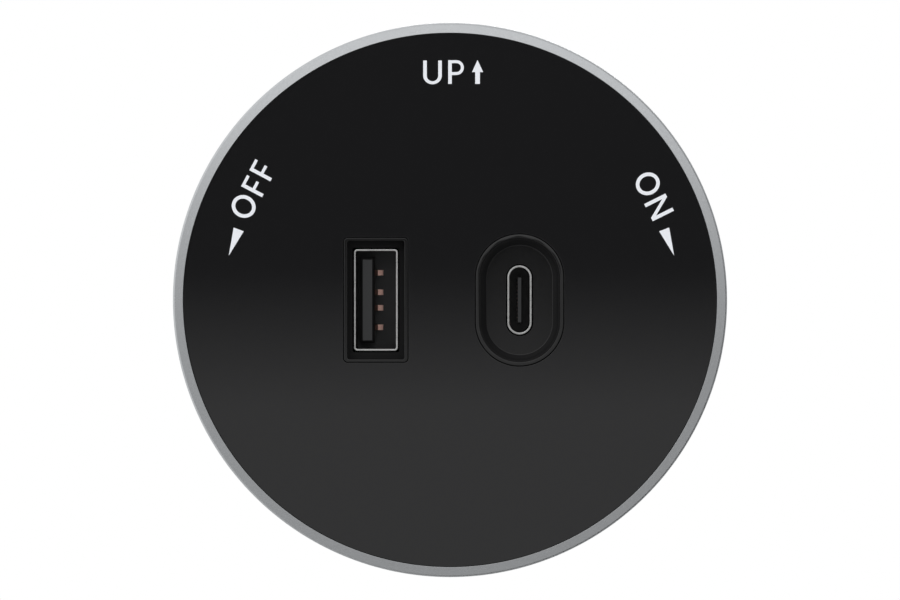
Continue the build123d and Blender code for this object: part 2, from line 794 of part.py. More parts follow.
# Choke: a ring core lying on the board
with BuildPart() as choke:
    with BuildSketch(level(power_board_front)):
        with Locations((0, choke_z)):
            Circle(choke_dia / 2)
            Circle(choke_bore / 2, mode=Mode.SUBTRACT)
    extrude(amount=choke_tall)
    fillet(choke.faces().sort_by(Axis.Y)[0].edges(), radius=choke_round)
save(choke, "choke")

# Rear housing: a turned cup with a spigot for the ring, a pocket for the guide plate and the pivot in it
with BuildPart() as back_housing:
    with BuildSketch(lathe):
        with BuildLine():
            Polyline(
                (0, pivot_back),
                (pivot_r, pivot_back),
                (pivot_r, pocket_floor),
                (pocket_r, pocket_floor),
                (pocket_r, housing_back),
                (housing_r - housing_edge, housing_back),
                (housing_r, housing_back + housing_edge),
                (housing_r, ring_back),
                (spigot_r, ring_back),
                (spigot_r, ledge_back),
                (cup_r, ledge_back),
                (cup_r, trough_floor),
                (pocket_r + pocket_wall, trough_floor),
                (pocket_r + pocket_wall, cup_floor),
                (0, cup_floor),
                close=True,
            )
        make_face()
    revolve(axis=Axis.Y)
    # Bosses for the long posts, held between the cup's wall and the pocket's
    with BuildSketch(level(trough_floor)):
        with Locations(*post_spots):
            Circle(screw_boss_dia / 2)
    extrude(amount=post_end - trough_floor)
    with BuildSketch(level(cup_floor)):
        with Locations(*standoff_spots):
            Circle(standoff_dia / 2)
    extrude(amount=power_board_back - cup_floor)
    # Stop lug in the pocket
    with BuildSketch(level(pocket_floor)):
        with PolarLocations(band_r, 1, start_angle=lug_rest):
            Circle(lug_dia / 2)
    extrude(amount=-lug_tall)
    # Counterbored screw holes from behind
    with BuildSketch(level(housing_back)):
        with Locations(*post_spots):
            Circle(housing_screw[0] / 2 + head_gap)
    extrude(amount=screw_seat - housing_back, mode=Mode.SUBTRACT)
    with BuildSketch(level(housing_back)):
        with Locations(*post_spots):
            Circle(housing_screw[2] / 2 + shank_gap)
    extrude(amount=post_end - housing_back, mode=Mode.SUBTRACT)
    with BuildSketch(level(power_board_back)):
        with Locations(*standoff_spots):
            Circle(power_screw[2] / 2 + thread_gap)
    extrude(amount=-(power_screw[3] - board_thick + fixed_gap), mode=Mode.SUBTRACT)
    with BuildSketch(level(pivot_back)):
        with Locations(*head_screw_spots):
            Circle(head_screw[2] / 2 + thread_gap)
    extrude(amount=head_screw[3] - (flange_front - flange_back) + fixed_gap, mode=Mode.SUBTRACT)
    with BuildSketch(level(pivot_back)):
        Circle(bore_dia / 2)
    extrude(amount=cup_floor - pivot_back, mode=Mode.SUBTRACT)
    # Two troughs that the detent spring drops into, one for off and one for on
    leaf_r = (leaf_long**2 / 4 + leaf_rise**2) / (2 * leaf_rise)
    leaf_foot = plate_front - leaf_pocket_deep + leaf_thick / 2
    leaf_hub = leaf_foot + leaf_rise - leaf_r
    trough_r = leaf_r + leaf_thick / 2 + leaf_slack
    trough_long = leaf_wide + 2 * leaf_slack
    with BuildSketch(Plane.XY.offset(-band_r - trough_long / 2)):
        with Locations((0, -leaf_hub)):
            Circle(trough_r)
        with Locations((0, -leaf_hub)):
            Rectangle(2 * trough_r, 2 * (pocket_floor - leaf_hub), mode=Mode.SUBTRACT)
        with Locations((0, -leaf_hub + trough_r)):
            Rectangle(2 * trough_r, 2 * trough_r, mode=Mode.SUBTRACT)
    extrude(amount=trough_long, mode=Mode.SUBTRACT)
    with BuildSketch(Plane.YZ.offset(band_r - trough_long / 2)):
        with Locations((-leaf_hub, 0)):
            Circle(trough_r)
        with Locations((-leaf_hub, 0)):
            Rectangle(2 * (pocket_floor - leaf_hub), 2 * trough_r, mode=Mode.SUBTRACT)
        with Locations((-leaf_hub + trough_r, 0)):
            Rectangle(2 * trough_r, 2 * trough_r, mode=Mode.SUBTRACT)
    extrude(amount=trough_long, mode=Mode.SUBTRACT)
save(back_housing, "back_housing")
save(pan_screws(screw_seat, 1, post_spots, housing_screw), "housing_screws")

# Insulation sheet on the floor of the housing
with BuildPart() as insulation_sheet:
    with BuildSketch(level(cup_floor)):
        Circle(sheet_r)
        Circle(bore_dia / 2 + loose_gap, mode=Mode.SUBTRACT)
        with Locations(*standoff_spots):
            Circle(standoff_dia / 2 + loose_gap, mode=Mode.SUBTRACT)
    extrude(amount=sheet_thick)
save(insulation_sheet, "insulation_sheet")

# Guide plate: it turns on the pivot, and its keyed ribs go into the slot of the track
with BuildPart() as guide_plate:
    with BuildSketch(lathe):
        with BuildLine():
            Polyline(
                (counterbore_r, 0),
                (plate_r, 0),
                (plate_r, plate_front),
                (plate_bore_r, plate_front),
                (plate_bore_r, web_seat),
                (counterbore_r, web_seat),
                close=True,
            )
        make_face()
    revolve(axis=Axis.Y)
    rib_mid = (rib_from + rib_to) / 2
    with BuildSketch(level(-rib_tall)):
        with GridLocations(2 * rib_mid, 1, 2, 1):
            Rectangle(rib_to - rib_from, rib_wide)
    extrude(amount=rib_tall)
    chamfer(guide_plate.faces().sort_by(Axis.Y)[-2:].edges(), length=rib_edge)
    with BuildSketch(level(-key_tall)):
        with Locations((rib_mid - key_trim / 2, 0), (-rib_mid + key_trim / 2, 0)):
            with Locations((0, rib_wide / 2 + key_step / 2)):
                Rectangle(rib_to - rib_from - key_trim, key_step)
    extrude(amount=key_tall)
    # Arc slot for the stop lug, and the pocket of the detent spring
    with BuildSketch(level(plate_front)):
        with BuildLine():
            CenterArc((0, 0), band_r, lug_rest - turn_angle, turn_angle)
        trace(line_width=lug_dia + 2 * lug_slack)
        with PolarLocations(band_r, 2, lug_rest - turn_angle, turn_angle, endpoint=True):
            Circle(lug_dia / 2 + lug_slack)
    extrude(amount=-slot_deep, mode=Mode.SUBTRACT)
    with BuildSketch(level(plate_front)):
        with Locations((0, -band_r)):
            Rectangle(leaf_long + 2 * leaf_end_slack, leaf_wide + 2 * leaf_slack)
    extrude(amount=-leaf_pocket_deep, mode=Mode.SUBTRACT)
save(guide_plate, "guide_plate")

# Detent spring: an arched leaf in its pocket
with BuildPart() as detent_spring:
    with BuildSketch(lathe.offset(band_r)):
        with BuildLine():
            leaf_end = leaf_long / 2
            ThreePointArc((-leaf_end, leaf_foot), (0, leaf_foot + leaf_rise), (leaf_end, leaf_foot))
        trace(line_width=leaf_thick)
    extrude(amount=leaf_wide / 2, both=True)
save(detent_spring, "detent_spring")

# Contact head: the flange that holds the guide plate, the neck in the slot, the T-bar behind the lips
with BuildPart() as contact_head:
    with BuildSketch(level(flange_back)):
        Circle(flange_r)
    extrude(amount=flange_front - flange_back)
    with BuildSketch(level(bar_front)):
        Circle(neck_dia / 2)
    extrude(amount=flange_back - bar_front)
    with BuildSketch(level(cap_front)):
        Circle(bar_r)
        Rectangle(bar_long, bar_wide, mode=Mode.INTERSECT)
    extrude(amount=bar_front - cap_front)
    corners = contact_head.edges().filter_by(Axis.Y).group_by(Axis.X)
    chamfer(corners[0] + corners[-1], length=bar_edge)
    # The room for shoes and terminals, open behind, with two bosses for the cap's screws
    with BuildSketch(level(cap_front)):
        Rectangle(2 * room_end, 2 * room_half)
        with Locations(*cap_spots):
            Circle(cap_boss_dia / 2, mode=Mode.SUBTRACT)
    extrude(amount=room_front - cap_front, mode=Mode.SUBTRACT)
    with BuildSketch(Plane.YZ.offset(-bar_r)):
        with Locations((-shoe_level, 0)):
            Rectangle(nose_tall + 2 * slide_gap, nose_wide + 2 * slide_gap)
    extrude(amount=bar_end_wall, mode=Mode.SUBTRACT)
    with BuildSketch(Plane.YZ.offset(bar_r)):
        with Locations((-shoe_level, 0)):
            Rectangle(nose_tall + 2 * slide_gap, nose_wide + 2 * slide_gap)
    extrude(amount=-bar_end_wall, mode=Mode.SUBTRACT)
    with BuildSketch(level(room_front)):
        Circle(bore_dia / 2)
        with Locations(*cap_spots):
            Circle(cap_boss_dia / 2, mode=Mode.SUBTRACT)
    extrude(amount=flange_front - room_front, mode=Mode.SUBTRACT)
    with BuildSketch(level(cap_front)):
        with Locations(*cap_spots):
            Circle(cap_screw[2] / 2 + thread_gap)
    extrude(amount=cap_screw[3] - cap_thick + hole_spare, mode=Mode.SUBTRACT)
    for spot in head_screw_spots:
        with BuildSketch(level(flange_back)):
            with Locations(spot):
                Circle(head_screw[0] / 2 + fixed_gap)
        with BuildSketch(level(flange_back + head_screw[1])):
            with Locations(spot):
                Circle(head_screw[2] / 2 + fixed_gap)
        loft(mode=Mode.SUBTRACT)
    with BuildSketch(level(flange_back)):
        with Locations(*head_screw_spots):
            Circle(head_screw[2] / 2 + fixed_gap)
    extrude(amount=flange_front - flange_back, mode=Mode.SUBTRACT)
save(contact_head, "contact_head")
save(sunk_screws(flange_back, 1, head_screw_spots, head_screw), "head_screws")

# Cap behind the T-bar, with the walls that back the terminals and part live from neutral
with BuildPart() as head_cap:
    with BuildSketch(level(bar_back)):
        Circle(bar_r)
        Rectangle(bar_long, bar_wide, mode=Mode.INTERSECT)
    extrude(amount=cap_thick)
    chamfer(head_cap.faces().sort_by(Axis.Y)[-1].edges(), length=bar_edge)
    wall_top = room_front - terminal_thick - turn_gap
    with BuildSketch(level(cap_front)):
        with GridLocations(2 * terminal_out - divider_thick, 1, 2, 1):
            Rectangle(divider_thick, 2 * (room_half - fixed_gap))
        Rectangle(divider_thick, 2 * (cap_boss_z - cap_boss_dia / 2 - fixed_gap))
    extrude(amount=wall_top - cap_front)
    for spot in cap_spots:
        with BuildSketch(level(bar_back)):
            with Locations(spot):
                Circle(cap_screw[0] / 2 + fixed_gap)
        with BuildSketch(level(bar_back + cap_screw[1])):
            with Locations(spot):
                Circle(cap_screw[2] / 2 + fixed_gap)
        loft(mode=Mode.SUBTRACT)
    with BuildSketch(level(bar_back)):
        with Locations(*cap_spots):
            Circle(cap_screw[2] / 2 + fixed_gap)
    extrude(amount=cap_thick, mode=Mode.SUBTRACT)
save(head_cap, "head_cap")
save(sunk_screws(bar_back, 1, cap_spots, cap_screw), "cap_screws")


def contact_shoe(side):
    # A brass shoe: the nose that touches the conductor, and the flange that stops it in the T-bar
    with BuildPart() as shoe:
        with BuildSketch(Plane.YZ.offset(side * flange_in)):
            with Locations((-shoe_level, 0)):
                Rectangle(shoe_flange_tall, shoe_flange_wide)
        extrude(amount=side * shoe_flange_thick)
        with BuildSketch(Plane.YZ.offset(side * flange_out)):
            with Locations((-shoe_level, 0)):
                Rectangle(nose_tall, nose_wide)
        extrude(amount=side * (nose_tip - flange_out))
        tip = shoe.faces().sort_by(Axis.X)[-1 if side > 0 else 0]
        fillet(tip.edges(), radius=nose_round)
    return shoe


def shoe_spring(side):
    # A coil spring between the terminal and the shoe's flange
    coil_r = (spring_dia - spring_wire) / 2
    start = spring_from + spring_wire / 2
    run = flange_in - spring_from - spring_wire
    with BuildPart() as spring:
        with BuildLine() as coil:
            foot = (side * start, -shoe_level, 0)
            Helix(run / spring_turns, run, coil_r, center=foot, direction=(side, 0, 0))
        with BuildSketch(Plane(origin=coil.line @ 0, z_dir=coil.line % 0)):
            Circle(spring_wire / 2)
        sweep()
    return spring


def contact_terminal(side):
    # A bent strip: the spring's seat, and a tab under the lead
    with BuildPart() as terminal:
        with BuildSketch(Plane.YZ.offset(side * terminal_out)):
            with Locations((-(room_front + terminal_low) / 2, 0)):
                Rectangle(room_front - terminal_low, terminal_wide)
        extrude(amount=side * terminal_thick)
        with BuildSketch(level(room_front)):
            with Locations((side * (tab_in + terminal_out) / 2, 0)):
                Rectangle(terminal_out - tab_in, tab_wide)
        extrude(amount=-terminal_thick)
    return terminal


def contact_lead(side):
    # An insulated lead, straight up the bore of the neck to the power board
    with BuildPart() as lead:
        with BuildSketch(level(room_front)):
            with Locations((side * lead_x, 0)):
                Circle(lead_dia / 2)
        extrude(amount=power_board_back - room_front)
    return lead


# Live is at the left of the head, neutral at the right
for name, side in (("live", -1), ("neutral", 1)):
    save(contact_shoe(side), f"{name}_shoe")
    save(shoe_spring(side), f"{name}_spring")
    save(contact_terminal(side), f"{name}_terminal")
    save(contact_lead(side), f"{name}_lead")
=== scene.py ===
import json
import math

import bmesh
import bpy
from mathutils import Matrix, Vector


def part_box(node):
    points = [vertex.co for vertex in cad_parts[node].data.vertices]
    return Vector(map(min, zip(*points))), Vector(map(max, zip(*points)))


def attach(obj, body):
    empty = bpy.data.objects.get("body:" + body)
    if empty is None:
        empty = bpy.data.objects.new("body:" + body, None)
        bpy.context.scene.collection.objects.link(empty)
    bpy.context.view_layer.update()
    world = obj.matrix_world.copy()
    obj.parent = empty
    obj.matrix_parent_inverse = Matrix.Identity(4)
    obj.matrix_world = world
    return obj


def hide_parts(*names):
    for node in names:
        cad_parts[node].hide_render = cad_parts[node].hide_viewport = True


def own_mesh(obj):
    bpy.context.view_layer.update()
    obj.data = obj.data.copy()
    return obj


# Power track USB socket. Sizes are in millimetres and become metres through mm.
# A level is how far a place lies in front of the track face, along -Y; the track side is below zero.
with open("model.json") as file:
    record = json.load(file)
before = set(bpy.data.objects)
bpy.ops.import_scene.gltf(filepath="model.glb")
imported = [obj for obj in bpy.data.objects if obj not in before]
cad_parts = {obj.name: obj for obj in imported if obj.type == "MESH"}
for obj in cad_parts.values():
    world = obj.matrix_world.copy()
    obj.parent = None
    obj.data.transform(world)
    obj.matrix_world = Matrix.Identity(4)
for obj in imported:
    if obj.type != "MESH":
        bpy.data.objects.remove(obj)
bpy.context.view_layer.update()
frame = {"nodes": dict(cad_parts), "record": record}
nodes = frame["nodes"]
mm = 0.001
past = 1  # how far a cutting tool stands out of what it cuts
overlap = 0.5  # how far a joined form reaches into its neighbour
print("frame loaded,", len(nodes), "nodes")


def levels(node):
    # the lowest and highest level of a CAD node
    low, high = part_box(node)
    return -high.y / mm, -low.y / mm


def spans(node):
    # the width and height of a CAD node, seen from the front
    low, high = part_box(node)
    return (high.x - low.x) / mm, (high.z - low.z) / mm


def middle(node):
    # its middle, across and up
    low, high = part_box(node)
    return (low.x + high.x) / 2 / mm, (low.z + high.z) / 2 / mm


def place(across, up, level):
    return Vector((across, -level, up)) * mm


def spotAt(radius, turn):
    return radius * math.cos(math.radians(turn)), radius * math.sin(math.radians(turn))


def onDiagonals(radius):
    return [spotAt(radius, 45 + 90 * n) for n in range(4)]


# Mesh helpers

def standUp(bm, verts, level, centre=(0, 0)):
    # turns something drawn flat to face -Y, and brings it to its level and centre
    turn = Matrix.Translation(place(*centre, level)) @ Matrix.Rotation(math.pi / 2, 4, "X")
    bmesh.ops.transform(bm, matrix=turn, verts=verts)


def turnRound(bm, verts, angle, axis):
    bmesh.ops.rotate(bm, cent=(0, 0, 0), matrix=Matrix.Rotation(angle, 3, axis), verts=verts)


def edgesOf(verts):
    return list({edge for vert in verts for edge in vert.link_edges})


def edgesAt(bm, level):
    # the edges that lie at a level
    y = -level * mm
    return [edge for edge in bm.edges if all(abs(vert.co.y - y) < 1e-6 for vert in edge.verts)]


def cornerLoop(bm, wide, tall, corner, level, centre=(0, 0), steps=8):
    # a rounded rectangle: a circle whose quarters are moved apart, or a stadium if the corner is half the width
    verts = bmesh.ops.create_circle(bm, segments=4 * steps, radius=corner * mm)["verts"]
    edges = edgesOf(verts)
    turnRound(bm, verts, math.pi / (4 * steps), "Z")
    quarters = [(x, y, [v for v in verts if v.co.x * x > 0 and v.co.y * y > 0]) for x in (-1, 1) for y in (-1, 1)]
    for x, y, quarter in quarters:
        shift = Vector((x * (wide / 2 - corner), y * (tall / 2 - corner), 0)) * mm
        bmesh.ops.translate(bm, vec=shift, verts=quarter)
    standUp(bm, verts, level, centre)
    return edges


def cornerBlock(bm, low, high, lowSize, highSize, spot, steps=8):
    # a closed block between two rounded rectangles, each given by its width, height and corner
    foot = cornerLoop(bm, *lowSize, low, spot, steps)
    top = cornerLoop(bm, *highSize, high, spot, steps)
    bmesh.ops.bridge_loops(bm, edges=foot + top)
    for edges in (foot, top):
        bmesh.ops.holes_fill(bm, edges=edges, sides=0)
    return top


def stadium(wide, tall):
    return wide, tall, wide / 2


def cornerForm(low, high, lowSize, highSize, spot, steps=8, name="tool"):
    bm = bmesh.new()
    cornerBlock(bm, low, high, lowSize, highSize, spot, steps)
    return makeObject(name, bm)


def turned(bm, profile, steps=192):
    # spins a closed profile of (radius, level) points round the turning axis
    verts = [bm.verts.new(place(radius, 0, level)) for radius, level in profile]
    pairs = list(zip(verts, verts[1:] + verts[:1]))
    if profile[0][0] == 0:
        pairs.pop()  # no edge along the axis
    edges = [bm.edges.new(pair) for pair in pairs]
    bmesh.ops.spin(
        bm, geom=verts + edges, cent=(0, 0, 0), axis=(0, 1, 0), angle=2 * math.pi, steps=steps, use_merge=True
    )


def rod(bm, radius, low, high, spot=(0, 0), steps=64):
    # a round bar between two levels
    made = bmesh.ops.create_cone(
        bm, cap_ends=True, segments=steps, radius1=radius * mm, radius2=radius * mm, depth=(high - low) * mm
    )
    standUp(bm, made["verts"], (low + high) / 2, spot)


def block(bm, wide, tall, low, high, spot=(0, 0)):
    verts = bmesh.ops.create_cube(bm, size=1)["verts"]
    bmesh.ops.scale(bm, vec=Vector((wide, high - low, tall)) * mm, verts=verts)
    bmesh.ops.translate(bm, vec=place(*spot, (low + high) / 2), verts=verts)


def roundOff(bm, edges, width, segments=4):
    bmesh.ops.bevel(
        bm, geom=edges, offset=width * mm, segments=segments, profile=0.5, affect="EDGES", material=-1
    )


def cutOff(bm, spot, outwards):
    # cuts everything off beyond a plane and closes the cut
    cut = bmesh.ops.bisect_plane(
        bm, geom=bm.verts[:] + bm.edges[:] + bm.faces[:], plane_co=spot, plane_no=outwards, clear_outer=True
    )
    rim = [item for item in cut["geom_cut"] if isinstance(item, bmesh.types.BMEdge)]
    bmesh.ops.holes_fill(bm, edges=rim, sides=0)


def finishShading(mesh, angle=30):
    mesh.shade_smooth()
    mesh.set_sharp_from_angle(angle=math.radians(angle))


def newObject(name, data):
    thing = bpy.data.objects.new(name, data)
    bpy.context.scene.collection.objects.link(thing)
    return thing


def makeObject(name, bm, smoothAngle=30):
    bmesh.ops.remove_doubles(bm, verts=bm.verts[:], dist=1e-7)
    bmesh.ops.recalc_face_normals(bm, faces=bm.faces[:])
    mesh = bpy.data.meshes.new(name)
    bm.to_mesh(mesh)
    bm.free()
    finishShading(mesh, smoothAngle)
    return newObject(name, mesh)


def asMesh(thing):
    # the finished mesh of a curve or of a piece with modifiers
    bpy.context.view_layer.update()
    return bpy.data.meshes.new_from_object(thing.evaluated_get(bpy.context.evaluated_depsgraph_get()))


def shaped(piece, operation, *tools):
    # joins the tools to the piece or cuts them out of it, and clears them away
    for tool in tools:
        cut = piece.modifiers.new("cut", "BOOLEAN")
        cut.operation = operation
        cut.solver = "EXACT"
        cut.object = tool
    mesh = asMesh(piece)
    bm = bmesh.new()
    bm.from_mesh(mesh)
    bmesh.ops.remove_doubles(bm, verts=bm.verts[:], dist=1.5e-5)
    bmesh.ops.dissolve_degenerate(bm, edges=bm.edges[:], dist=1e-6)
    bm.to_mesh(mesh)
    bm.free()
    finishShading(mesh)
    piece.modifiers.clear()
    rough = piece.data
    piece.data = mesh
    bpy.data.meshes.remove(rough)
    mesh.name = piece.name
    for tool in tools:
        bpy.data.meshes.remove(tool.data)


def turnedForm(name, profile, steps=192):
    bm = bmesh.new()
    turned(bm, profile, steps)
    return makeObject(name, bm)


def rodForm(radius, low, high, spots=((0, 0),), steps=64, name="tool"):
    bm = bmesh.new()
    for spot in spots:
        rod(bm, radius, low, high, spot, steps)
    return makeObject(name, bm)


def blockForm(wide, tall, low, high, spots=((0, 0),), name="tool"):
    bm = bmesh.new()
    for spot in spots:
        block(bm, wide, tall, low, high, spot)
    return makeObject(name, bm)


def sinkTools(sinkR, shankR, top, deep, end, spots):
    # countersunk holes that open backwards at the top level
    spare = 0.2
    rim = sinkR + spare * (sinkR - shankR) / deep
    profile = [(0, top - spare), (rim, top - spare), (shankR, top + deep), (shankR, end), (0, end)]
    tools = []
    for spot in spots:
        bm = bmesh.new()
        turned(bm, profile, 64)
        bmesh.ops.translate(bm, vec=place(*spot, 0), verts=bm.verts[:])
        tools.append(makeObject("tool", bm))
    return tools


def soften(piece, width, segments=2, angle=35, level=None):
    # rounds every edge that turns more than the angle, or only the edges at a level
    edge = piece.modifiers.new("edge", "BEVEL")
    edge.width = width * mm
    edge.segments = segments
    edge.limit_method = "ANGLE" if level is None else "WEIGHT"
    edge.angle_limit = math.radians(angle)
    edge.use_clamp_overlap = False
    edge.harden_normals = True
    if level is not None:
        bm = bmesh.new()
        bm.from_mesh(piece.data)
        weight = bm.edges.layers.float.new("bevel_weight_edge")
        for rim in edgesAt(bm, level):
            rim[weight] = 1.0
        bm.to_mesh(piece.data)
        bm.free()


def arcPoints(centre, radius, start, end, steps):
    turns = [math.radians(start + (end - start) * k / steps) for k in range(steps + 1)]
    return [(centre[0] + radius * math.cos(turn), centre[1] + radius * math.sin(turn)) for turn in turns]


def flatPiece(name, outlines, back, front):
    # a thin plate from flat outlines and their holes; it is a mesh before it is stood up
    curve = bpy.data.curves.new(name, "CURVE")
    curve.dimensions = "2D"
    curve.fill_mode = "BOTH"
    curve.extrude = (front - back) / 2 * mm
    for outline in outlines:
        spline = curve.splines.new("POLY")
        spline.points.add(len(outline) - 1)
        for point, (x, z) in zip(spline.points, outline):
            point.co = (x * mm, z * mm, 0, 1)
        spline.use_cyclic_u = True
    mesh = asMesh(newObject(name, curve))
    bm = bmesh.new()
    bm.from_mesh(mesh)
    bpy.data.meshes.remove(mesh)
    bpy.data.curves.remove(curve)
    standUp(bm, bm.verts[:], (back + front) / 2)
    return makeObject(name, bm)


def settle(piece, slotName, *standsFor, body="socket", finish=None):
    piece.data.materials.clear()
    piece.data.materials.append(finish or finishes[slotName])
    if standsFor:
        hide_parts(*standsFor)
    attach(piece, body)


# Materials

def newMaterial(name, base, roughness, metallic=0.0):
    material = bpy.data.materials.new(name)
    material.use_nodes = True
    shader = material.node_tree.nodes["Principled BSDF"]
    shader.inputs["Base Color"].default_value = (*base, 1)
    shader.inputs["Roughness"].default_value = roughness
    shader.inputs["Metallic"].default_value = metallic
    return material, material.node_tree, shader


def feed(node, name, source):
    node.id_data.links.new(source, node.inputs[name])


def objectPlace(tree):
    return tree.nodes.new("ShaderNodeTexCoord").outputs["Object"]


def noise(tree, size, detail, stretch=(1, 1, 1)):
    # noise whose features are about size millimetres across
    mapping = tree.nodes.new("ShaderNodeMapping")
    mapping.inputs["Scale"].default_value = stretch
    texture = tree.nodes.new("ShaderNodeTexNoise")
    texture.inputs["Scale"].default_value = 1 / (size * mm)
    texture.inputs["Detail"].default_value = detail
    feed(mapping, "Vector", objectPlace(tree))
    feed(texture, "Vector", mapping.outputs["Vector"])
    return texture.outputs["Fac"]


def spread(tree, source, low, high, start=0.3, end=0.7, smooth=False):
    # maps a pattern to a range of values
    span = tree.nodes.new("ShaderNodeMapRange")
    span.interpolation_type = "SMOOTHSTEP" if smooth else "LINEAR"
    for name, value in (("From Min", start), ("From Max", end), ("To Min", low), ("To Max", high)):
        span.inputs[name].default_value = value
    feed(span, "Value", source)
    return span.outputs["Result"]


def shades(tree, source, dark, light, start=0.3, end=0.7):
    # maps a pattern to colours between two shades
    ramp = tree.nodes.new("ShaderNodeValToRGB")
    for stop, position, colour in zip(ramp.color_ramp.elements, (start, end), (dark, light)):
        stop.position = position
        stop.color = (*colour, 1)
    feed(ramp, "Fac", source)
    return ramp.outputs["Color"]


def bumps(tree, shader, source, deep, strength):
    bump = tree.nodes.new("ShaderNodeBump")
    bump.inputs["Strength"].default_value = strength
    bump.inputs["Distance"].default_value = deep * mm
    feed(bump, "Height", source)
    feed(shader, "Normal", bump.outputs["Normal"])


def calculate(tree, operation, first, second):
    step = tree.nodes.new("ShaderNodeMath")
    step.operation = operation
    for socket, value in zip(step.inputs, (first, second)):
        if isinstance(value, (int, float)):
            socket.default_value = value
        else:
            tree.links.new(value, socket)
    return step.outputs["Value"]


def fade(tree, axis, start, full):
    # from 0 at one place along an axis to 1 at another, in millimetres
    parts = tree.nodes.new("ShaderNodeSeparateXYZ")
    feed(parts, "Vector", objectPlace(tree))
    return spread(tree, parts.outputs[axis], 0, 1, start * mm, full * mm)


def offAxis(tree, source):
    # how far a place or a direction is from the turning axis
    flat = tree.nodes.new("ShaderNodeVectorMath")
    flat.operation = "MULTIPLY"
    flat.inputs[1].default_value = (1, 0, 1)
    reach = tree.nodes.new("ShaderNodeVectorMath")
    reach.operation = "LENGTH"
    feed(flat, 0, source)
    feed(reach, 0, flat.outputs["Vector"])
    return reach.outputs["Value"]


def blend(tree, share, first, second):
    # from the first colour to the second
    mixed = tree.nodes.new("ShaderNodeMix")
    mixed.data_type = "RGBA"
    feed(mixed, "Factor", share)
    for socket, colour in ((mixed.inputs[6], first), (mixed.inputs[7], second)):
        if isinstance(colour, tuple):
            socket.default_value = (*colour, 1)
        else:
            tree.links.new(colour, socket)
    return mixed.outputs[2]


def grained(name, base, roughness, metallic, size, detail, tones, rough, bump=None, stretch=(1, 1, 1)):
    # a finish whose shade, roughness and height follow one noise
    material, tree, shader = newMaterial(name, base, roughness, metallic)
    grain = noise(tree, size, detail, stretch)
    feed(shader, "Base Color", shades(tree, grain, *tones))
    feed(shader, "Roughness", spread(tree, grain, *rough))
    if bump:
        bumps(tree, shader, grain, *bump)
    return material


# Where a finish, a painted shade or a painted light changes on its piece, as the axis and the two places, in
# millimetres
changes = {
    "shellWallShadeEdge": ("Y", -34.6, -34.7),
    "tongueTip": ("Y", -34.26, -34.29),
    "tonguePaintedLightBlock": ("Y", -28.5, -26.5),
    "contactShadeEdge": ("X", -9.28, -9.24),
    "wallTop": 0.1,  # how far the dull walls take to turn bright in front, and behind
    "wallFoot": 0.03,
}


def glossBlack():
    # polished black face with a trace of uneven polish
    material, tree, shader = newMaterial("glossBlack", (0.0106, 0.0106, 0.0112), 0.03)
    feed(shader, "Roughness", spread(tree, noise(tree, 9, 3), 0.026, 0.036))
    return material


def collarBlack(name, dullFrom, dullTo):
    # moulded black, nearly as smooth as the face, and dull on the walls between two levels
    material, tree, shader = newMaterial(name, (0.0095, 0.0095, 0.0098), 0.06)
    grain = noise(tree, 0.3, 3)
    feed(shader, "Base Color", shades(tree, grain, (0.009, 0.009, 0.0093), (0.010, 0.010, 0.0103)))
    feed(shader, "Roughness", spread(tree, grain, 0.05, 0.075))
    above = fade(tree, "Y", -dullTo, -dullTo - changes["wallTop"])
    below = fade(tree, "Y", -dullFrom, changes["wallFoot"] - dullFrom)
    polish = calculate(tree, "MAXIMUM", above, below)
    feed(shader, "Specular IOR Level", spread(tree, polish, 0.08, 0.5, 0, 1))
    return material


def brightNickel():
    # bright on the cut rim of a shell, with a painted shade, a near-black colour, on the walls within
    material, tree, shader = newMaterial("brightNickel", (0.5, 0.5, 0.49), 0.3, 1)
    drawn = noise(tree, 0.5, 2, (1, 0.15, 1))
    bright = shades(tree, drawn, (0.56, 0.56, 0.555), (0.64, 0.64, 0.635))
    rim = fade(tree, *changes["shellWallShadeEdge"])
    # painted shade: the walls behind the rim take a near-black colour in place of the dark interior they reflect
    feed(shader, "Base Color", blend(tree, rim, (0.06, 0.06, 0.059), bright))
    feed(shader, "Roughness", spread(tree, drawn, 0.26, 0.34))
    return material


def tongueBlack():
    # moulded insulator: pale on its flat tip; painted shade makes the sides black, and painted light makes the block
    # behind a lighter grey
    material, tree, shader = newMaterial("tongueBlack", (0.018, 0.0185, 0.0192), 0.42)
    tip = fade(tree, *changes["tongueTip"])
    block = fade(tree, *changes["tonguePaintedLightBlock"])
    # painted shade on the sides (near black) and painted light on the deep block (lighter grey)
    behind = blend(tree, block, (0.003, 0.003, 0.003), (0.062, 0.064, 0.066))
    feed(shader, "Base Color", blend(tree, tip, behind, (0.0152, 0.0158, 0.0166)))
    grain = noise(tree, 0.3, 3)
    feed(shader, "Roughness", spread(tree, grain, 0.46, 0.38))
    bumps(tree, shader, grain, 0.004, 0.3)
    return material


def contactCopper():
    # dull copper, with a painted shade of dark brown where a strip dips to its tongue
    material, tree, shader = newMaterial("contactCopper", (0.95, 0.59, 0.5), 0.45)
    worn = noise(tree, 0.35, 3)
    copper = shades(tree, worn, (0.91, 0.55, 0.465), (0.99, 0.635, 0.535))
    clear = fade(tree, *changes["contactShadeEdge"])
    # painted shade: dark brown where the strip dips into the shade by its tongue
    feed(shader, "Base Color", blend(tree, clear, (0.042, 0.018, 0.013), copper))
    feed(shader, "Roughness", spread(tree, worn, 0.5, 0.4))
    return material


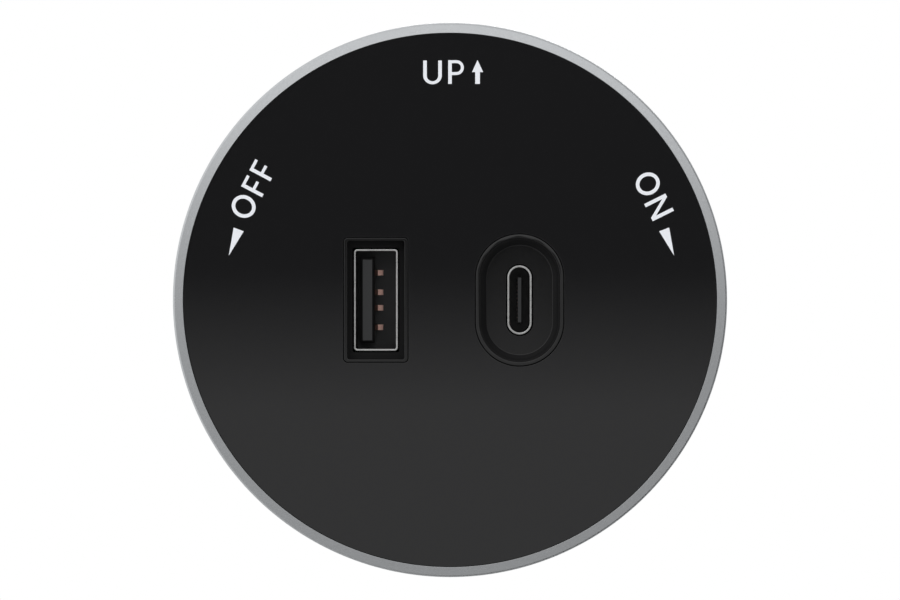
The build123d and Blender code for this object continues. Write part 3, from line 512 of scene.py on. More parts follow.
def guideGrey():
    # guide plate: waxy moulding with faint turning marks round the axis
    material, tree, shader = newMaterial("guideGrey", (0.16, 0.16, 0.168), 0.45)
    flow = noise(tree, 3, 4)
    feed(shader, "Base Color", shades(tree, flow, (0.14, 0.14, 0.148), (0.18, 0.18, 0.188)))
    rings = tree.nodes.new("ShaderNodeTexNoise")
    rings.noise_dimensions = "1D"
    rings.inputs["Scale"].default_value = 1 / (0.35 * mm)
    feed(rings, "W", offAxis(tree, objectPlace(tree)))
    feed(shader, "Roughness", spread(tree, rings.outputs["Fac"], 0.52, 0.38))
    bumps(tree, shader, noise(tree, 0.3, 3), 0.012, 0.4)
    return material


def headBlack():
    # contact head: glass-filled plastic with pale fibre specks
    material, tree, shader = newMaterial("headBlack", (0.025, 0.025, 0.026), 0.5)
    fibres = noise(tree, 0.25, 5, (1, 1, 0.35))
    feed(shader, "Base Color", shades(tree, fibres, (0.022, 0.022, 0.023), (0.05, 0.05, 0.052), 0.5, 0.75))
    feed(shader, "Roughness", spread(tree, fibres, 0.58, 0.42))
    bumps(tree, shader, noise(tree, 0.22, 3), 0.015, 0.4)
    return material


def boardGreen():
    # solder mask over faint tracks
    material, tree, shader = newMaterial("boardGreen", (0.02, 0.13, 0.06), 0.3)
    turnUp = tree.nodes.new("ShaderNodeMapping")
    turnUp.inputs["Rotation"].default_value = (math.pi / 2, 0, 0)
    tracks = tree.nodes.new("ShaderNodeTexBrick")
    tracks.inputs["Scale"].default_value = 1 / (4 * mm)
    tracks.inputs["Mortar Size"].default_value = 0.06
    tracks.inputs["Color1"].default_value = (0.018, 0.11, 0.05, 1)
    tracks.inputs["Color2"].default_value = (0.022, 0.14, 0.065, 1)
    tracks.inputs["Mortar"].default_value = (0.05, 0.24, 0.11, 1)
    feed(turnUp, "Vector", objectPlace(tree))
    feed(tracks, "Vector", turnUp.outputs["Vector"])
    feed(shader, "Base Color", tracks.outputs["Color"])
    feed(shader, "Roughness", spread(tree, noise(tree, 1.5, 3), 0.26, 0.36))
    return material


# Finishes of what lies inside: dark and light shade, grain in millimetres, roughness, metal
innerFinishes = {
    "chassis_black": ((0.022, 0.022, 0.023), (0.034, 0.034, 0.035), 0.4, 0.5, 0),
    "spring_steel": ((0.42, 0.41, 0.40), (0.58, 0.57, 0.55), 0.3, 0.32, 1),
    "terminal_brass": ((0.62, 0.45, 0.20), (0.80, 0.62, 0.34), 0.5, 0.34, 1),
    "live_brown": ((0.16, 0.07, 0.035), (0.22, 0.10, 0.05), 0.6, 0.45, 0),
    "neutral_blue": ((0.04, 0.12, 0.34), (0.06, 0.17, 0.42), 0.6, 0.45, 0),
    "chip_black": ((0.018, 0.018, 0.018), (0.03, 0.03, 0.03), 0.2, 0.6, 0),
    "can_silver": ((0.62, 0.62, 0.64), (0.76, 0.76, 0.78), 0.5, 0.3, 1),
    "can_sleeve": ((0.02, 0.025, 0.06), (0.03, 0.04, 0.09), 1.2, 0.3, 0),
    "ferrite": ((0.045, 0.045, 0.048), (0.075, 0.075, 0.08), 0.35, 0.5, 0),
    "winding_tape": ((0.62, 0.42, 0.05), (0.74, 0.54, 0.09), 2.0, 0.35, 0),
    "pin_tin": ((0.60, 0.59, 0.56), (0.74, 0.73, 0.70), 0.4, 0.28, 1),
    "fuse_body": ((0.48, 0.42, 0.32), (0.60, 0.54, 0.43), 0.5, 0.5, 0),
    "insulation": ((0.46, 0.43, 0.33), (0.56, 0.53, 0.42), 0.8, 0.7, 0),
}


finishes = {
    # metallic paint: fine flakes under a satin coat
    "silver_trim": grained(
        "satinSilver", base=(0.5, 0.51, 0.52), roughness=0.28, metallic=0.9, size=0.16, detail=3,
        tones=((0.49, 0.505, 0.518), (0.56, 0.575, 0.59)), rough=(0.30, 0.27), bump=(0.002, 0.3),
    ),
    "gloss_black": glossBlack(),
    "collar_black": collarBlack("dishBlack", 34.66, 35.7),
    "nickel": brightNickel(),
    "tongue_black": tongueBlack(),
    "contact_gold": contactCopper(),
    # moulded plastic with a spark-eroded grain
    "housing_black": grained(
        "sparkBlack", base=(0.02, 0.02, 0.021), roughness=0.55, metallic=0, size=0.28, detail=4,
        tones=((0.016, 0.016, 0.017), (0.026, 0.026, 0.027)), rough=(0.62, 0.46), bump=(0.03, 0.6),
    ),
    "guide_grey": guideGrey(),
    "head_black": headBlack(),
    "screw_steel": grained(
        "zincSteel", base=(0.55, 0.56, 0.57), roughness=0.35, metallic=1, size=0.8, detail=4,
        tones=((0.46, 0.47, 0.49), (0.62, 0.63, 0.63)), rough=(0.42, 0.28),
    ),
    # rubbed bright along X, with darker pits
    "shoe_brass": grained(
        "rubbedBrass", base=(0.78, 0.58, 0.30), roughness=0.3, metallic=1, size=0.18, detail=4, stretch=(0.12, 1, 1),
        tones=((0.60, 0.42, 0.19), (0.86, 0.67, 0.37)), rough=(0.42, 0.22), bump=(0.004, 0.4),
    ),
    "board_green": boardGreen(),
    "mark_white": grained(
        "whiteInk", base=(0.82, 0.84, 0.885), roughness=0.5, metallic=0, size=0.12, detail=2,
        tones=((0.80, 0.82, 0.865), (0.84, 0.86, 0.905)), rough=(0.45, 0.55),
    ),
}
for slotName, (dark, light, grainSize, dull, metal) in innerFinishes.items():
    finishes[slotName] = grained(
        slotName, base=light, roughness=dull, metallic=metal, size=grainSize, detail=3, tones=(dark, light),
        rough=(dull + 0.06, dull - 0.06), bump=(0.01, 0.3),
    )
for entry in frame["record"]["subparts"]:
    nodeMesh = nodes[entry["node"]].data
    nodeMesh.materials.clear()
    nodeMesh.materials.append(finishes[entry["material_slot"]])
print("materials made,", len(finishes))


# Trim ring

ring = {
    "wall": 1.3,
    "fall": 0.25,  # its front falls away outwards
    "chamfer": 0.2,
    "ledge": 1.2,
    "ledgeBack": 30.0,
    "ledgeFront": 32.0,
    "edge": 0.05,
}


def makeRing():
    back, front = levels("trim_ring")
    outer = spans("trim_ring")[1] / 2
    inner = outer - ring["wall"]
    profile = [
        (inner, back),
        (outer, back),
        (outer, front - ring["fall"] - ring["chamfer"]),
        (outer - ring["chamfer"], front - ring["fall"]),
        (inner, front),
        (inner, ring["ledgeFront"]),
        (inner - ring["ledge"], ring["ledgeFront"]),
        (inner - ring["ledge"], ring["ledgeBack"]),
        (inner, ring["ledgeBack"]),
    ]
    piece = turnedForm("trimRing", profile, 256)
    soften(piece, ring["edge"], 2, 20)
    settle(piece, "silver_trim", "trim_ring")


# Face plate

face = {
    "radius": 34.15,
    "edge": 0.05,
    "aWide": 8.36,
    "aTall": 16.06,
    "aCorner": 0.58,
    "cWide": 11.46,
    "cTall": 17.06,
}


def makeFace():
    back, front = levels("face_plate")
    piece = rodForm(face["radius"], back, front, steps=256, name="facePlate")
    openingA = (face["aWide"], face["aTall"], face["aCorner"])
    openingC = stadium(face["cWide"], face["cTall"])
    shaped(
        piece, "DIFFERENCE",
        cornerForm(back - past, front + past, openingA, openingA, middle("usb_a_collar")),
        cornerForm(back - past, front + past, openingC, openingC, middle("usb_c_collar"), 24),
    )
    soften(piece, face["edge"], 2, 50)
    settle(piece, "gloss_black", "face_plate")


# Collars

collarA = {
    "corner": 0.5,
    "sideRim": 0.45,
    "endRim": 0.35,
    "wellCorner": 0.3,
    "floor": 34.6,
    "mouthWide": 6.0,
    "mouthTall": 13.4,
    "stepUp": 0.12,  # the thicker ends of the floor
    "edge": 0.1,
}


def makeCollarA():
    back, front = levels("usb_a_collar")
    wide, tall = spans("usb_a_collar")
    spot = middle("usb_a_collar")
    floor = collarA["floor"]
    outer = (wide, tall, collarA["corner"])
    well = (wide - 2 * collarA["sideRim"], tall - 2 * collarA["endRim"], collarA["wellCorner"])
    mouth = (collarA["mouthWide"], collarA["mouthTall"], collarA["wellCorner"])
    piece = cornerForm(back, front, outer, outer, spot, name="usbACollar")
    shaped(
        piece, "DIFFERENCE",
        cornerForm(floor, front + past, well, well, spot),
        cornerForm(back - past, floor + past, mouth, mouth, spot),
    )
    sunk = 0.1  # the steps reach into the walls and the floor
    endTall = (well[1] - mouth[1]) / 2 + sunk
    ends = [(spot[0], spot[1] + side * (mouth[1] + endTall) / 2) for side in (-1, 1)]
    shaped(piece, "UNION", blockForm(well[0] + 2 * sunk, endTall, floor - sunk, floor + collarA["stepUp"], ends))
    soften(piece, collarA["edge"], 2, level=front)
    settle(piece, "collar_black", "usb_a_collar", finish=collarBlack("wellBlack", 34.0, 35.5))


collarC = {
    "lip": 0.45,
    "slope": 0.97,
    "floor": 34.6,
    "mouthWide": 3.47,
    "mouthTall": 9.22,
    "lipRound": 0.15,
    "edge": 0.04,
}


def makeCollarC():
    back, front = levels("usb_c_collar")
    wide, tall = spans("usb_c_collar")
    spot = middle("usb_c_collar")
    floor = collarC["floor"]
    lip = 2 * collarC["lip"]
    dish = lip + 2 * collarC["slope"]
    mouth = stadium(collarC["mouthWide"], collarC["mouthTall"])
    spare = 0.2
    rise = 1 + spare / (front - floor)  # the dish tool goes on a little in front of the lip
    rim = (wide - dish + rise * (dish - lip), tall - dish + rise * (dish - lip))
    bm = bmesh.new()
    top = cornerBlock(bm, back, front, stadium(wide, tall), stadium(wide, tall), spot, 24)
    roundOff(bm, top, collarC["lipRound"])
    piece = makeObject("usbCCollar", bm, 25)
    shaped(
        piece, "DIFFERENCE",
        cornerForm(floor, front + spare, stadium(wide - dish, tall - dish), stadium(*rim), spot, 24),
        cornerForm(back - past, floor + past, mouth, mouth, spot, 24),
    )
    soften(piece, collarC["edge"], 2, 30)
    settle(piece, "collar_black", "usb_c_collar")


# Shells of both ports

shell = {
    "wall": 0.3,
    "aCorner": 0.5,
    "legWide": 1.6,
    "legPlay": 0.02,  # the legs are a little thinner than the wall
    "aLegZ": 4.0,
    "cLegZ": 2.2,
    "round": 0.1,
}


def makeShell(name, node, corner, legZ, steps):
    legEnd, front = levels(node)
    foot = levels("port_board")[1]
    wide, tall = spans(node)
    spot = middle(node)
    wall = shell["wall"]
    outer = (wide, tall, corner)
    inner = (wide - 2 * wall, tall - 2 * wall, corner - wall)
    piece = cornerForm(foot, front, outer, outer, spot, steps, name)
    shaped(piece, "DIFFERENCE", cornerForm(foot - past, front + past, inner, inner, spot, steps))
    legs = [(spot[0] + side * (wide - wall) / 2, spot[1] + end * legZ) for side in (-1, 1) for end in (-1, 1)]
    shaped(piece, "UNION", blockForm(wall - shell["legPlay"], shell["legWide"], legEnd, foot + overlap, legs))
    soften(piece, shell["round"], 3, level=front)
    settle(piece, "nickel", node)


# Marks: plain letters and arrows of their own, printed on the face

marks = {
    "cap": 3.04,  # height of the letters
    "upright": 0.46,
    "across": 0.38,
    "overshoot": 0.04,  # round letters stand a little over the others
    "thick": 0.02,
    "lift": 0.005,
    "upSpots": ((-2.24, 29.15), (0.77, 29.19)),
    "upArrowFoot": (3.53, 27.67),
    "offSpots": ((-26.42, 11.98), (-25.03, 14.58), (-23.97, 16.62)),
    "offTurn": 62.0,
    "offArrow": ((-27.7, 9.28), (-26.41, 8.8), (-28.33, 5.68)),
    "onSpots": ((25.33, 14.88), (26.77, 11.86)),
    "onTurn": -63.5,
    "onArrow": ((26.78, 8.8), (28.06, 9.28), (28.7, 5.68)),
}


def letterU(cap, bar, arm):
    # its bowl is a little lower than half its width
    half, bowl = 1.19, 1.1
    outer = [(half * x, bowl * z + bowl - cap / 2) for x, z in arcPoints((0, 0), 1, 180, 360, 24)]
    hollow = [((half - bar) * x, (bowl - arm) * z + bowl - cap / 2) for x, z in arcPoints((0, 0), 1, 360, 180, 24)]
    return [[(-half, cap / 2)] + outer + [(half, cap / 2), (half - bar, cap / 2)] + hollow + [(bar - half, cap / 2)]]


def letterP(cap, bar, arm):
    left, right, bowl = -1.0, 1.0, 0.95
    hub = (right - bowl, cap / 2 - bowl)
    low = cap / 2 - 2 * bowl
    outer = [(left, -cap / 2), (left + bar, -cap / 2), (left + bar, low)]
    outer += arcPoints(hub, bowl, -90, 90, 24) + [(left, cap / 2)]
    hole = [(left + bar, low + arm)] + arcPoints(hub, bowl - arm, -90, 90, 24) + [(left + bar, cap / 2 - arm)]
    return [outer, hole]


def letterO(cap, bar, arm):
    wide, tall = 2.86, cap + 2 * marks["overshoot"]
    outlines = []
    for inset in (0, bar):
        circle = arcPoints((0, 0), 1, 0, 360 * 63 / 64, 63)
        outlines.append([((wide / 2 - inset) * x, (tall / 2 - inset) * z) for x, z in circle])
    return outlines


def letterF(cap, bar, arm):
    left, right, low, short = -0.81, 0.81, -0.29, 0.12
    stem = left + bar
    return [[
        (left, -cap / 2), (stem, -cap / 2), (stem, low), (right - short, low), (right - short, low + arm),
        (stem, low + arm), (stem, cap / 2 - arm), (right, cap / 2 - arm), (right, cap / 2), (left, cap / 2),
    ]]


def letterN(cap, bar, arm):
    half, slant, notch = 1.23, 0.48, 0.7
    return [[
        (-half, -cap / 2), (bar - half, -cap / 2), (bar - half, cap / 2 - notch), (half - slant, -cap / 2),
        (half, -cap / 2), (half, cap / 2), (half - bar, cap / 2), (half - bar, notch - cap / 2),
        (slant - half, cap / 2), (-half, cap / 2),
    ]]


def upArrow(foot):
    tall, headTall, headHalf, shaft = 3.08, 1.57, 0.71, 0.3
    points = [
        (-shaft, 0), (shaft, 0), (shaft, tall - headTall), (headHalf, tall - headTall), (0, tall),
        (-headHalf, tall - headTall), (-shaft, tall - headTall),
    ]
    return [(foot[0] + x, foot[1] + z) for x, z in points]


drawLetter = {"U": letterU, "P": letterP, "O": letterO, "F": letterF, "N": letterN}


def printMark(name, word, spots, turn, arrow):
    # letters drawn round their own middles, turned and set on their spots
    cos, sin = spotAt(1, turn)
    outlines = [list(arrow)]
    for letter, spot in zip(word, spots):
        for outline in drawLetter[letter](marks["cap"], marks["upright"], marks["across"]):
            outlines.append([(spot[0] + x * cos - z * sin, spot[1] + x * sin + z * cos) for x, z in outline])
    back = levels("face_plate")[1] + marks["lift"]
    piece = flatPiece(name, outlines, back, back + marks["thick"])
    settle(piece, "mark_white")


makeRing()
makeFace()
makeCollarA()
makeCollarC()
makeShell("usbAShell", "usb_a_shell", shell["aCorner"], shell["aLegZ"], 8)
makeShell("usbCShell", "usb_c_shell", spans("usb_c_shell")[0] / 2, shell["cLegZ"], 16)
printMark("markUp", "UP", marks["upSpots"], 0, upArrow(marks["upArrowFoot"]))
printMark("markOff", "OFF", marks["offSpots"], marks["offTurn"], marks["offArrow"])
printMark("markOn", "ON", marks["onSpots"], marks["onTurn"], marks["onArrow"])
print("front made: ring, face, collars, shells and marks")


# Rear housing

housing = {
    "spigotR": 34.1,
    "cupR": 32.1,
    "backEdge": 0.6,
    "pivotR": 13.9,
    "pivotBack": 2.0,
    "pocketR": 25.3,
    "pocketFloor": 4.5,
    "pocketWall": 1.7,
    "wall": 2.0,
    "screwCircle": 28.8,
    "bossR": 3.5,
    "bossEnd": 9.0,
    "sinkR": 2.7,
    "sinkFloor": 3.4,
    "shankR": 1.4,
    "standoffCircle": 22.6,
    "standoffR": 2.2,
    "standoffEnd": 8.2,
    "boreR": 3.6,
    "pivotHoleR": 1.05,
    "pivotHoleDeep": 3.35,
    "standoffHoleR": 0.95,
    "standoffHoleDeep": 2.45,
    "lugR": 1.5,
    "lugBack": 2.7,
    "lugTurn": 135.0,
    "troughR": 10.82,  # the troughs that the detent spring drops into
    "troughLong": 4.5,
    "troughHub": -5.67,
    "edge": 0.12,
}


def springTroughs():
    bm = bmesh.new()
    for turn in (-90, 0):
        across, up = spotAt(guide["bandR"], turn)
        made = bmesh.ops.create_cone(
            bm, cap_ends=True, segments=192, radius1=housing["troughR"] * mm, radius2=housing["troughR"] * mm,
            depth=housing["troughLong"] * mm,
        )
        turnRound(bm, made["verts"], math.radians(turn + 90), "Y")
        bmesh.ops.translate(bm, vec=place(across, up, housing["troughHub"]), verts=made["verts"])
    return makeObject("tool", bm)


def makeHousing():
    back, front = levels("back_housing")
    outer = spans("back_housing")[0] / 2
    shoulder = levels("trim_ring")[0]
    wallR = housing["pocketR"] + housing["pocketWall"]
    trough = back + housing["wall"]
    cupFloor = housing["pocketFloor"] + housing["pocketWall"]
    profile = [
        (0, housing["pivotBack"]),
        (housing["pivotR"], housing["pivotBack"]),
        (housing["pivotR"], housing["pocketFloor"]),
        (housing["pocketR"], housing["pocketFloor"]),
        (housing["pocketR"], back),
        (outer - housing["backEdge"], back),
        (outer, back + housing["backEdge"]),
        (outer, shoulder),
        (housing["spigotR"], shoulder),
        (housing["spigotR"], front),
        (housing["cupR"], front),
        (housing["cupR"], trough),
        (wallR, trough),
        (wallR, cupFloor),
        (0, cupFloor),
    ]
    piece = turnedForm("backHousing", profile)
    screws = onDiagonals(housing["screwCircle"])
    standoffs = onDiagonals(housing["standoffCircle"])
    shaped(
        piece, "UNION",
        rodForm(housing["bossR"], trough - 2 * overlap, housing["bossEnd"], screws),
        rodForm(housing["standoffR"], cupFloor - overlap, housing["standoffEnd"], standoffs),
    )
    shaped(
        piece, "DIFFERENCE",
        rodForm(housing["sinkR"], back - past, housing["sinkFloor"], screws),
        rodForm(housing["shankR"], back, housing["bossEnd"] + past, screws),
        rodForm(housing["boreR"], housing["pivotBack"] - past, cupFloor + past),
        rodForm(
            housing["pivotHoleR"], housing["pivotBack"] - past, housing["pivotBack"] + housing["pivotHoleDeep"],
            headScrewSpots,
        ),
        rodForm(
            housing["standoffHoleR"], housing["standoffEnd"] - housing["standoffHoleDeep"],
            housing["standoffEnd"] + past, standoffs,
        ),
        springTroughs(),
    )
    lug = [spotAt(guide["bandR"], housing["lugTurn"])]
    shaped(piece, "UNION", rodForm(housing["lugR"], housing["lugBack"], housing["pocketFloor"] + overlap, lug))
    soften(piece, housing["edge"])
    settle(piece, "housing_black", "back_housing")


# Guide plate

guide = {
    "boreR": 14.0,
    "sinkR": 17.0,
    "sinkFloor": 2.1,
    "bandR": 21.0,
    "ribFrom": 17.8,
    "ribTo": 24.2,
    "ribHalf": 5.8,
    "ribEdge": 0.5,
    "keyEnd": 23.6,
    "keyStep": 1.0,
    "keyTall": 1.0,
    "slotWide": 3.4,
    "slotDeep": 2.0,
    "leafLong": 14.0,
    "leafWide": 4.5,
    "leafDeep": 1.6,
    "edge": 0.12,
}


def arcSlot(front):
    # the slot that the stop lug runs along
    deep = 2 * guide["slotDeep"]
    bm = bmesh.new()
    verts = bmesh.ops.create_grid(bm, x_segments=1, y_segments=1, size=0.5)["verts"]
    bmesh.ops.scale(bm, vec=(guide["slotWide"] * mm, deep * mm, 1), verts=verts)
    bmesh.ops.translate(bm, vec=place(guide["bandR"], 0, front), verts=verts)
    turnRound(bm, verts, math.radians(-45), "Y")
    bmesh.ops.spin(
        bm, geom=bm.verts[:] + bm.edges[:] + bm.faces[:], cent=(0, 0, 0), axis=(0, 1, 0),
        angle=math.radians(-90), steps=48,
    )
    return makeObject("tool", bm)


def makeGuide():
    ribBack, front = levels("guide_plate")
    outer = spans("guide_plate")[0] / 2
    profile = [
        (guide["sinkR"], 0),
        (outer, 0),
        (outer, front),
        (guide["boreR"], front),
        (guide["boreR"], guide["sinkFloor"]),
        (guide["sinkR"], guide["sinkFloor"]),
    ]
    piece = turnedForm("guidePlate", profile)
    ribLong = guide["ribTo"] - guide["ribFrom"]
    ribMid = (guide["ribTo"] + guide["ribFrom"]) / 2
    bm = bmesh.new()
    for side in (-1, 1):
        block(bm, ribLong, 2 * guide["ribHalf"], ribBack, overlap, (side * ribMid, 0))
    roundOff(bm, edgesAt(bm, ribBack), guide["ribEdge"], 1)
    ribs = makeObject("tool", bm)
    keyMid = (guide["keyEnd"] + guide["ribFrom"]) / 2
    keyLong, keySunk = guide["keyEnd"] - guide["ribFrom"], 0.05  # the keys reach into the ribs
    keys = [(side * keyMid, guide["ribHalf"] + guide["keyStep"] / 2 - keySunk) for side in (-1, 1)]
    keyTool = blockForm(keyLong, guide["keyStep"] + 2 * keySunk, -guide["keyTall"], overlap, keys)
    shaped(piece, "UNION", ribs, keyTool)
    slotEnds = [spotAt(guide["bandR"], turn) for turn in (45, 135)]
    leafSpot = [(0, -guide["bandR"])]
    shaped(
        piece, "DIFFERENCE",
        arcSlot(front),
        rodForm(guide["slotWide"] / 2, front - guide["slotDeep"], front + past, slotEnds),
        blockForm(guide["leafLong"], guide["leafWide"], front - guide["leafDeep"], front + past, leafSpot),
    )
    soften(piece, guide["edge"])
    settle(piece, "guide_grey", "guide_plate", body="guide")


# Contact head and its cap

head = {
    "barR": 15.5,
    "barHalf": 5.6,
    "barFront": -3.4,
    "corner": 0.6,
    "flangeBack": 0.3,
    "neckR": 5.4,
    "boreR": 3.6,
    "roomHalf": 4.4,
    "roomEnd": 13.6,
    "roomFront": -5.2,
    "bossR": 1.7,
    "bossZ": 3.3,
    "windowLow": -12.0,
    "windowHigh": -7.1,
    "windowTall": 6.3,
    "screwCircle": 10.85,
    "sinkR": 2.15,
    "sinkDeep": 1.0,
    "shankR": 1.05,
    "capSinkR": 1.75,
    "capSinkDeep": 0.9,
    "capShankR": 0.95,
    "capWall": 1.0,
    "capWallX": 5.2,
    "capHoleDeep": 5.1,
    "windowLong": 4,
    "edge": 0.12,
}
headScrewSpots = [spotAt(head["screwCircle"], turn) for turn in (60, 120, 240, 300)]
capScrewSpots = [(0, -head["bossZ"]), (0, head["bossZ"])]


def makeHead():
    back, front = levels("contact_head")
    bm = bmesh.new()
    rod(bm, head["barR"], back, head["barFront"], steps=192)
    endTurn = math.degrees(math.asin(head["barHalf"] / head["barR"]))
    cornerX = spotAt(head["barR"], endTurn)[0] - head["corner"]
    slope = spotAt(1, (90 + endTurn) / 2)
    for side in (-1, 1):
        cutOff(bm, place(0, side * head["barHalf"], back), (0, 0, side))
    for right in (-1, 1):
        for side in (-1, 1):
            spot = place(right * cornerX, side * head["barHalf"], back)
            cutOff(bm, spot, (right * slope[0], 0, side * slope[1]))
    piece = makeObject("contactHead", bm)
    flangeR = spans("contact_head")[0] / 2
    shaped(
        piece, "UNION",
        rodForm(head["neckR"], head["barFront"] - overlap, head["flangeBack"] + overlap, steps=128),
        rodForm(flangeR, head["flangeBack"], front, steps=192),
    )
    room = blockForm(2 * head["roomEnd"], 2 * head["roomHalf"], back - past, head["roomFront"])
    shaped(room, "UNION", rodForm(head["boreR"], head["roomFront"] - past, front + past))
    shaped(room, "DIFFERENCE", rodForm(head["bossR"], back - 2 * past, front + 2 * past, capScrewSpots))
    ends = [(side * (head["barR"] - 1), 0) for side in (-1, 1)]
    shaped(
        piece, "DIFFERENCE", room,
        blockForm(head["windowLong"], head["windowTall"], head["windowLow"], head["windowHigh"], ends),
        *sinkTools(head["sinkR"], head["shankR"], head["flangeBack"], head["sinkDeep"], front + past, headScrewSpots),
        rodForm(head["capShankR"], back - past, back + head["capHoleDeep"], capScrewSpots),
    )
    soften(piece, head["edge"])
    settle(piece, "head_black", "contact_head")


def makeCap():
    back, wallTop = levels("head_cap")
    front = levels("contact_head")[0]
    half, corner = head["barHalf"], head["corner"]
    bm = bmesh.new()
    turned(
        bm, [(0, back), (head["barR"] - corner, back), (head["barR"], back + corner), (head["barR"], front), (0, front)]
    )
    for side in (-1, 1):
        cutOff(bm, place(0, side * half, back), (0, 0, side))
        cutOff(bm, place(0, side * (half - corner), back), (0, 1, side))
    piece = makeObject("headCap", bm)
    wallSpots = [(side * head["capWallX"], 0) for side in (-1, 1)]
    play = 0.05  # on each side of the cap's walls
    shaped(
        piece, "UNION",
        blockForm(head["capWall"], 2 * head["roomHalf"] - 2 * play, front - overlap, wallTop, wallSpots),
        blockForm(head["capWall"], 2 * (head["bossZ"] - head["bossR"] - play), front - overlap, wallTop),
    )
    shaped(
        piece, "DIFFERENCE",
        *sinkTools(head["capSinkR"], head["capShankR"], back, head["capSinkDeep"], front + past, capScrewSpots),
    )
    soften(piece, head["edge"])
    settle(piece, "head_black", "head_cap")


# Screws, driven forwards with their heads behind

screw = {
    "arm": 0.56,  # length, width and depth of the cross recess, as shares of the head's diameter and height
    "bar": 0.2,
    "deep": 0.5,
    "crown": 0.33,
    "point": 0.4,
    "around": 48,
    "edge": 0.05,
}


def makeScrews(name, node, spots, headR, headTall, coreR, sunk):
    top, tip = levels(node)
    seat = top + headTall
    crown = headTall * screw["crown"]
    rim = [(headR, top)] if sunk else arcPoints((headR - crown, top + crown), crown, -90, 0, 6) + [(headR, seat)]
    point = screw["point"]
    shank = [(coreR, seat), (coreR, tip - point), (coreR - point, tip), (0, tip)]
    pattern = turnedForm(name, [(0, top)] + rim + shank, screw["around"])
    arm, bar = 2 * headR * screw["arm"], 2 * headR * screw["bar"]
    floor = top + headTall * screw["deep"]
    shaped(pattern, "DIFFERENCE", blockForm(arm, bar, top - past, floor), blockForm(bar, arm, top - past, floor))
    bm = bmesh.new()
    for number, spot in enumerate(spots):
        bm.from_mesh(pattern.data)
        verts = bm.verts[number * len(pattern.data.vertices):]
        turnRound(bm, verts, number, "Y")  # each recess stands at an angle of its own
        bmesh.ops.translate(bm, vec=place(*spot, 0), verts=verts)
    bpy.data.meshes.remove(pattern.data)
    piece = makeObject(name, bm)
    soften(piece, screw["edge"], 2, 40)
    settle(piece, "screw_steel", node)


screwSets = {
    "housingScrews": {
        "node": "housing_screws", "spots": onDiagonals(housing["screwCircle"]),
        "headR": 2.4, "headTall": 2.2, "coreR": 1.15, "sunk": False,
    },
    "headScrews": {
        "node": "head_screws", "spots": headScrewSpots, "headR": 2.1, "headTall": 1.0, "coreR": 1.0, "sunk": True,
    },
    "capScrews": {
        "node": "cap_screws", "spots": capScrewSpots, "headR": 1.7, "headTall": 0.9, "coreR": 0.9, "sunk": True,
    },
}


# Contact shoes

shoe = {
    "flangeThick": 2.0,
    "noseWide": 6.0,
    "noseTall": 4.6,
    "noseRound": 0.9,
    "edge": 0.15,
}


def makeShoe(name, node, side, body):
    low, high = levels(node)
    wide, tall = spans(node)
    middleX = middle(node)[0]
    inner, tip = middleX - side * wide / 2, middleX + side * wide / 2
    flangeOut = inner + side * shoe["flangeThick"]
    piece = blockForm(shoe["flangeThick"], tall, low, high, [((inner + flangeOut) / 2, 0)], name)
    noseFrom = flangeOut - side * overlap
    level, half = (low + high) / 2, shoe["noseTall"] / 2
    bm = bmesh.new()
    block(bm, abs(tip - noseFrom), shoe["noseWide"], level - half, level + half, ((tip + noseFrom) / 2, 0))
    ends = [edge for edge in bm.edges if all(abs(vert.co.x - tip * mm) < 1e-6 for vert in edge.verts)]
    roundOff(bm, ends, shoe["noseRound"], 6)
    shaped(piece, "UNION", makeObject("tool", bm))
    soften(piece, shoe["edge"], 2, 50)
    settle(piece, "shoe_brass", node, body=body)


# Springs behind the shoes; on the real socket they shorten as their shoes are pressed in

spring = {
    "wire": 0.45,
    "turns": 4,
    "press": 1.0,
    "around": 48,
    "sides": 16,
}


def makeSpring(name, node, side):
    # a ring of wire, turned about X and drawn out along it
    low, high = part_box(node)
    hub = (low + high) / 2
    long, wire = high.x - low.x, spring["wire"] * mm
    seat = high.x if side < 0 else low.x
    steps = spring["turns"] * spring["around"]
    bm = bmesh.new()
    verts = bmesh.ops.create_circle(bm, segments=spring["sides"], radius=wire / 2)["verts"]
    start = edgesOf(verts)
    turnRound(bm, verts, math.pi / 2, "X")
    bmesh.ops.translate(bm, vec=(seat + side * wire / 2, hub.y, high.z - wire / 2), verts=verts)
    coil = bmesh.ops.spin(
        bm, geom=verts + start, cent=hub, axis=(1, 0, 0), dvec=(side * (long - wire) / steps, 0, 0),
        angle=2 * math.pi * spring["turns"], steps=steps,
    )
    end = [item for item in coil["geom_last"] if isinstance(item, bmesh.types.BMEdge)]
    for edges in (start, end):
        bmesh.ops.holes_fill(bm, edges=edges, sides=0)
    piece = makeObject(name, bm)
    settle(piece, "spring_steel", node)
    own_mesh(piece)


makeHousing()
makeGuide()
makeHead()
makeCap()
for name, values in screwSets.items():
    makeScrews(name, **values)
makeShoe("liveShoe", "live_shoe", -1, "live_contact")
makeShoe("neutralShoe", "neutral_shoe", 1, "neutral_contact")
makeSpring("liveSpring", "live_spring", -1)
makeSpring("neutralSpring", "neutral_spring", 1)
print("back made: housing, guide plate, contact head, cap, screws, shoes and springs")


# Camera, lights and stage

view = {
    "frameWide": 115.24,  # width of the picture at the face
    "distance": 1200.0,
    "sensor": 36.0,
    "clipEnd": 20,  # metres
}


def makeCamera():
    data = bpy.data.cameras.new("camera")
    data.sensor_width = view["sensor"]
    data.lens = view["sensor"] * view["distance"] / view["frameWide"]
    data.clip_end = view["clipEnd"]
    camera = newObject("camera", data)
    camera.location = place(0, 0, levels("face_plate")[1] + view["distance"])
    camera.rotation_euler = (math.pi / 2, 0, 0)
    bpy.context.scene.camera = camera


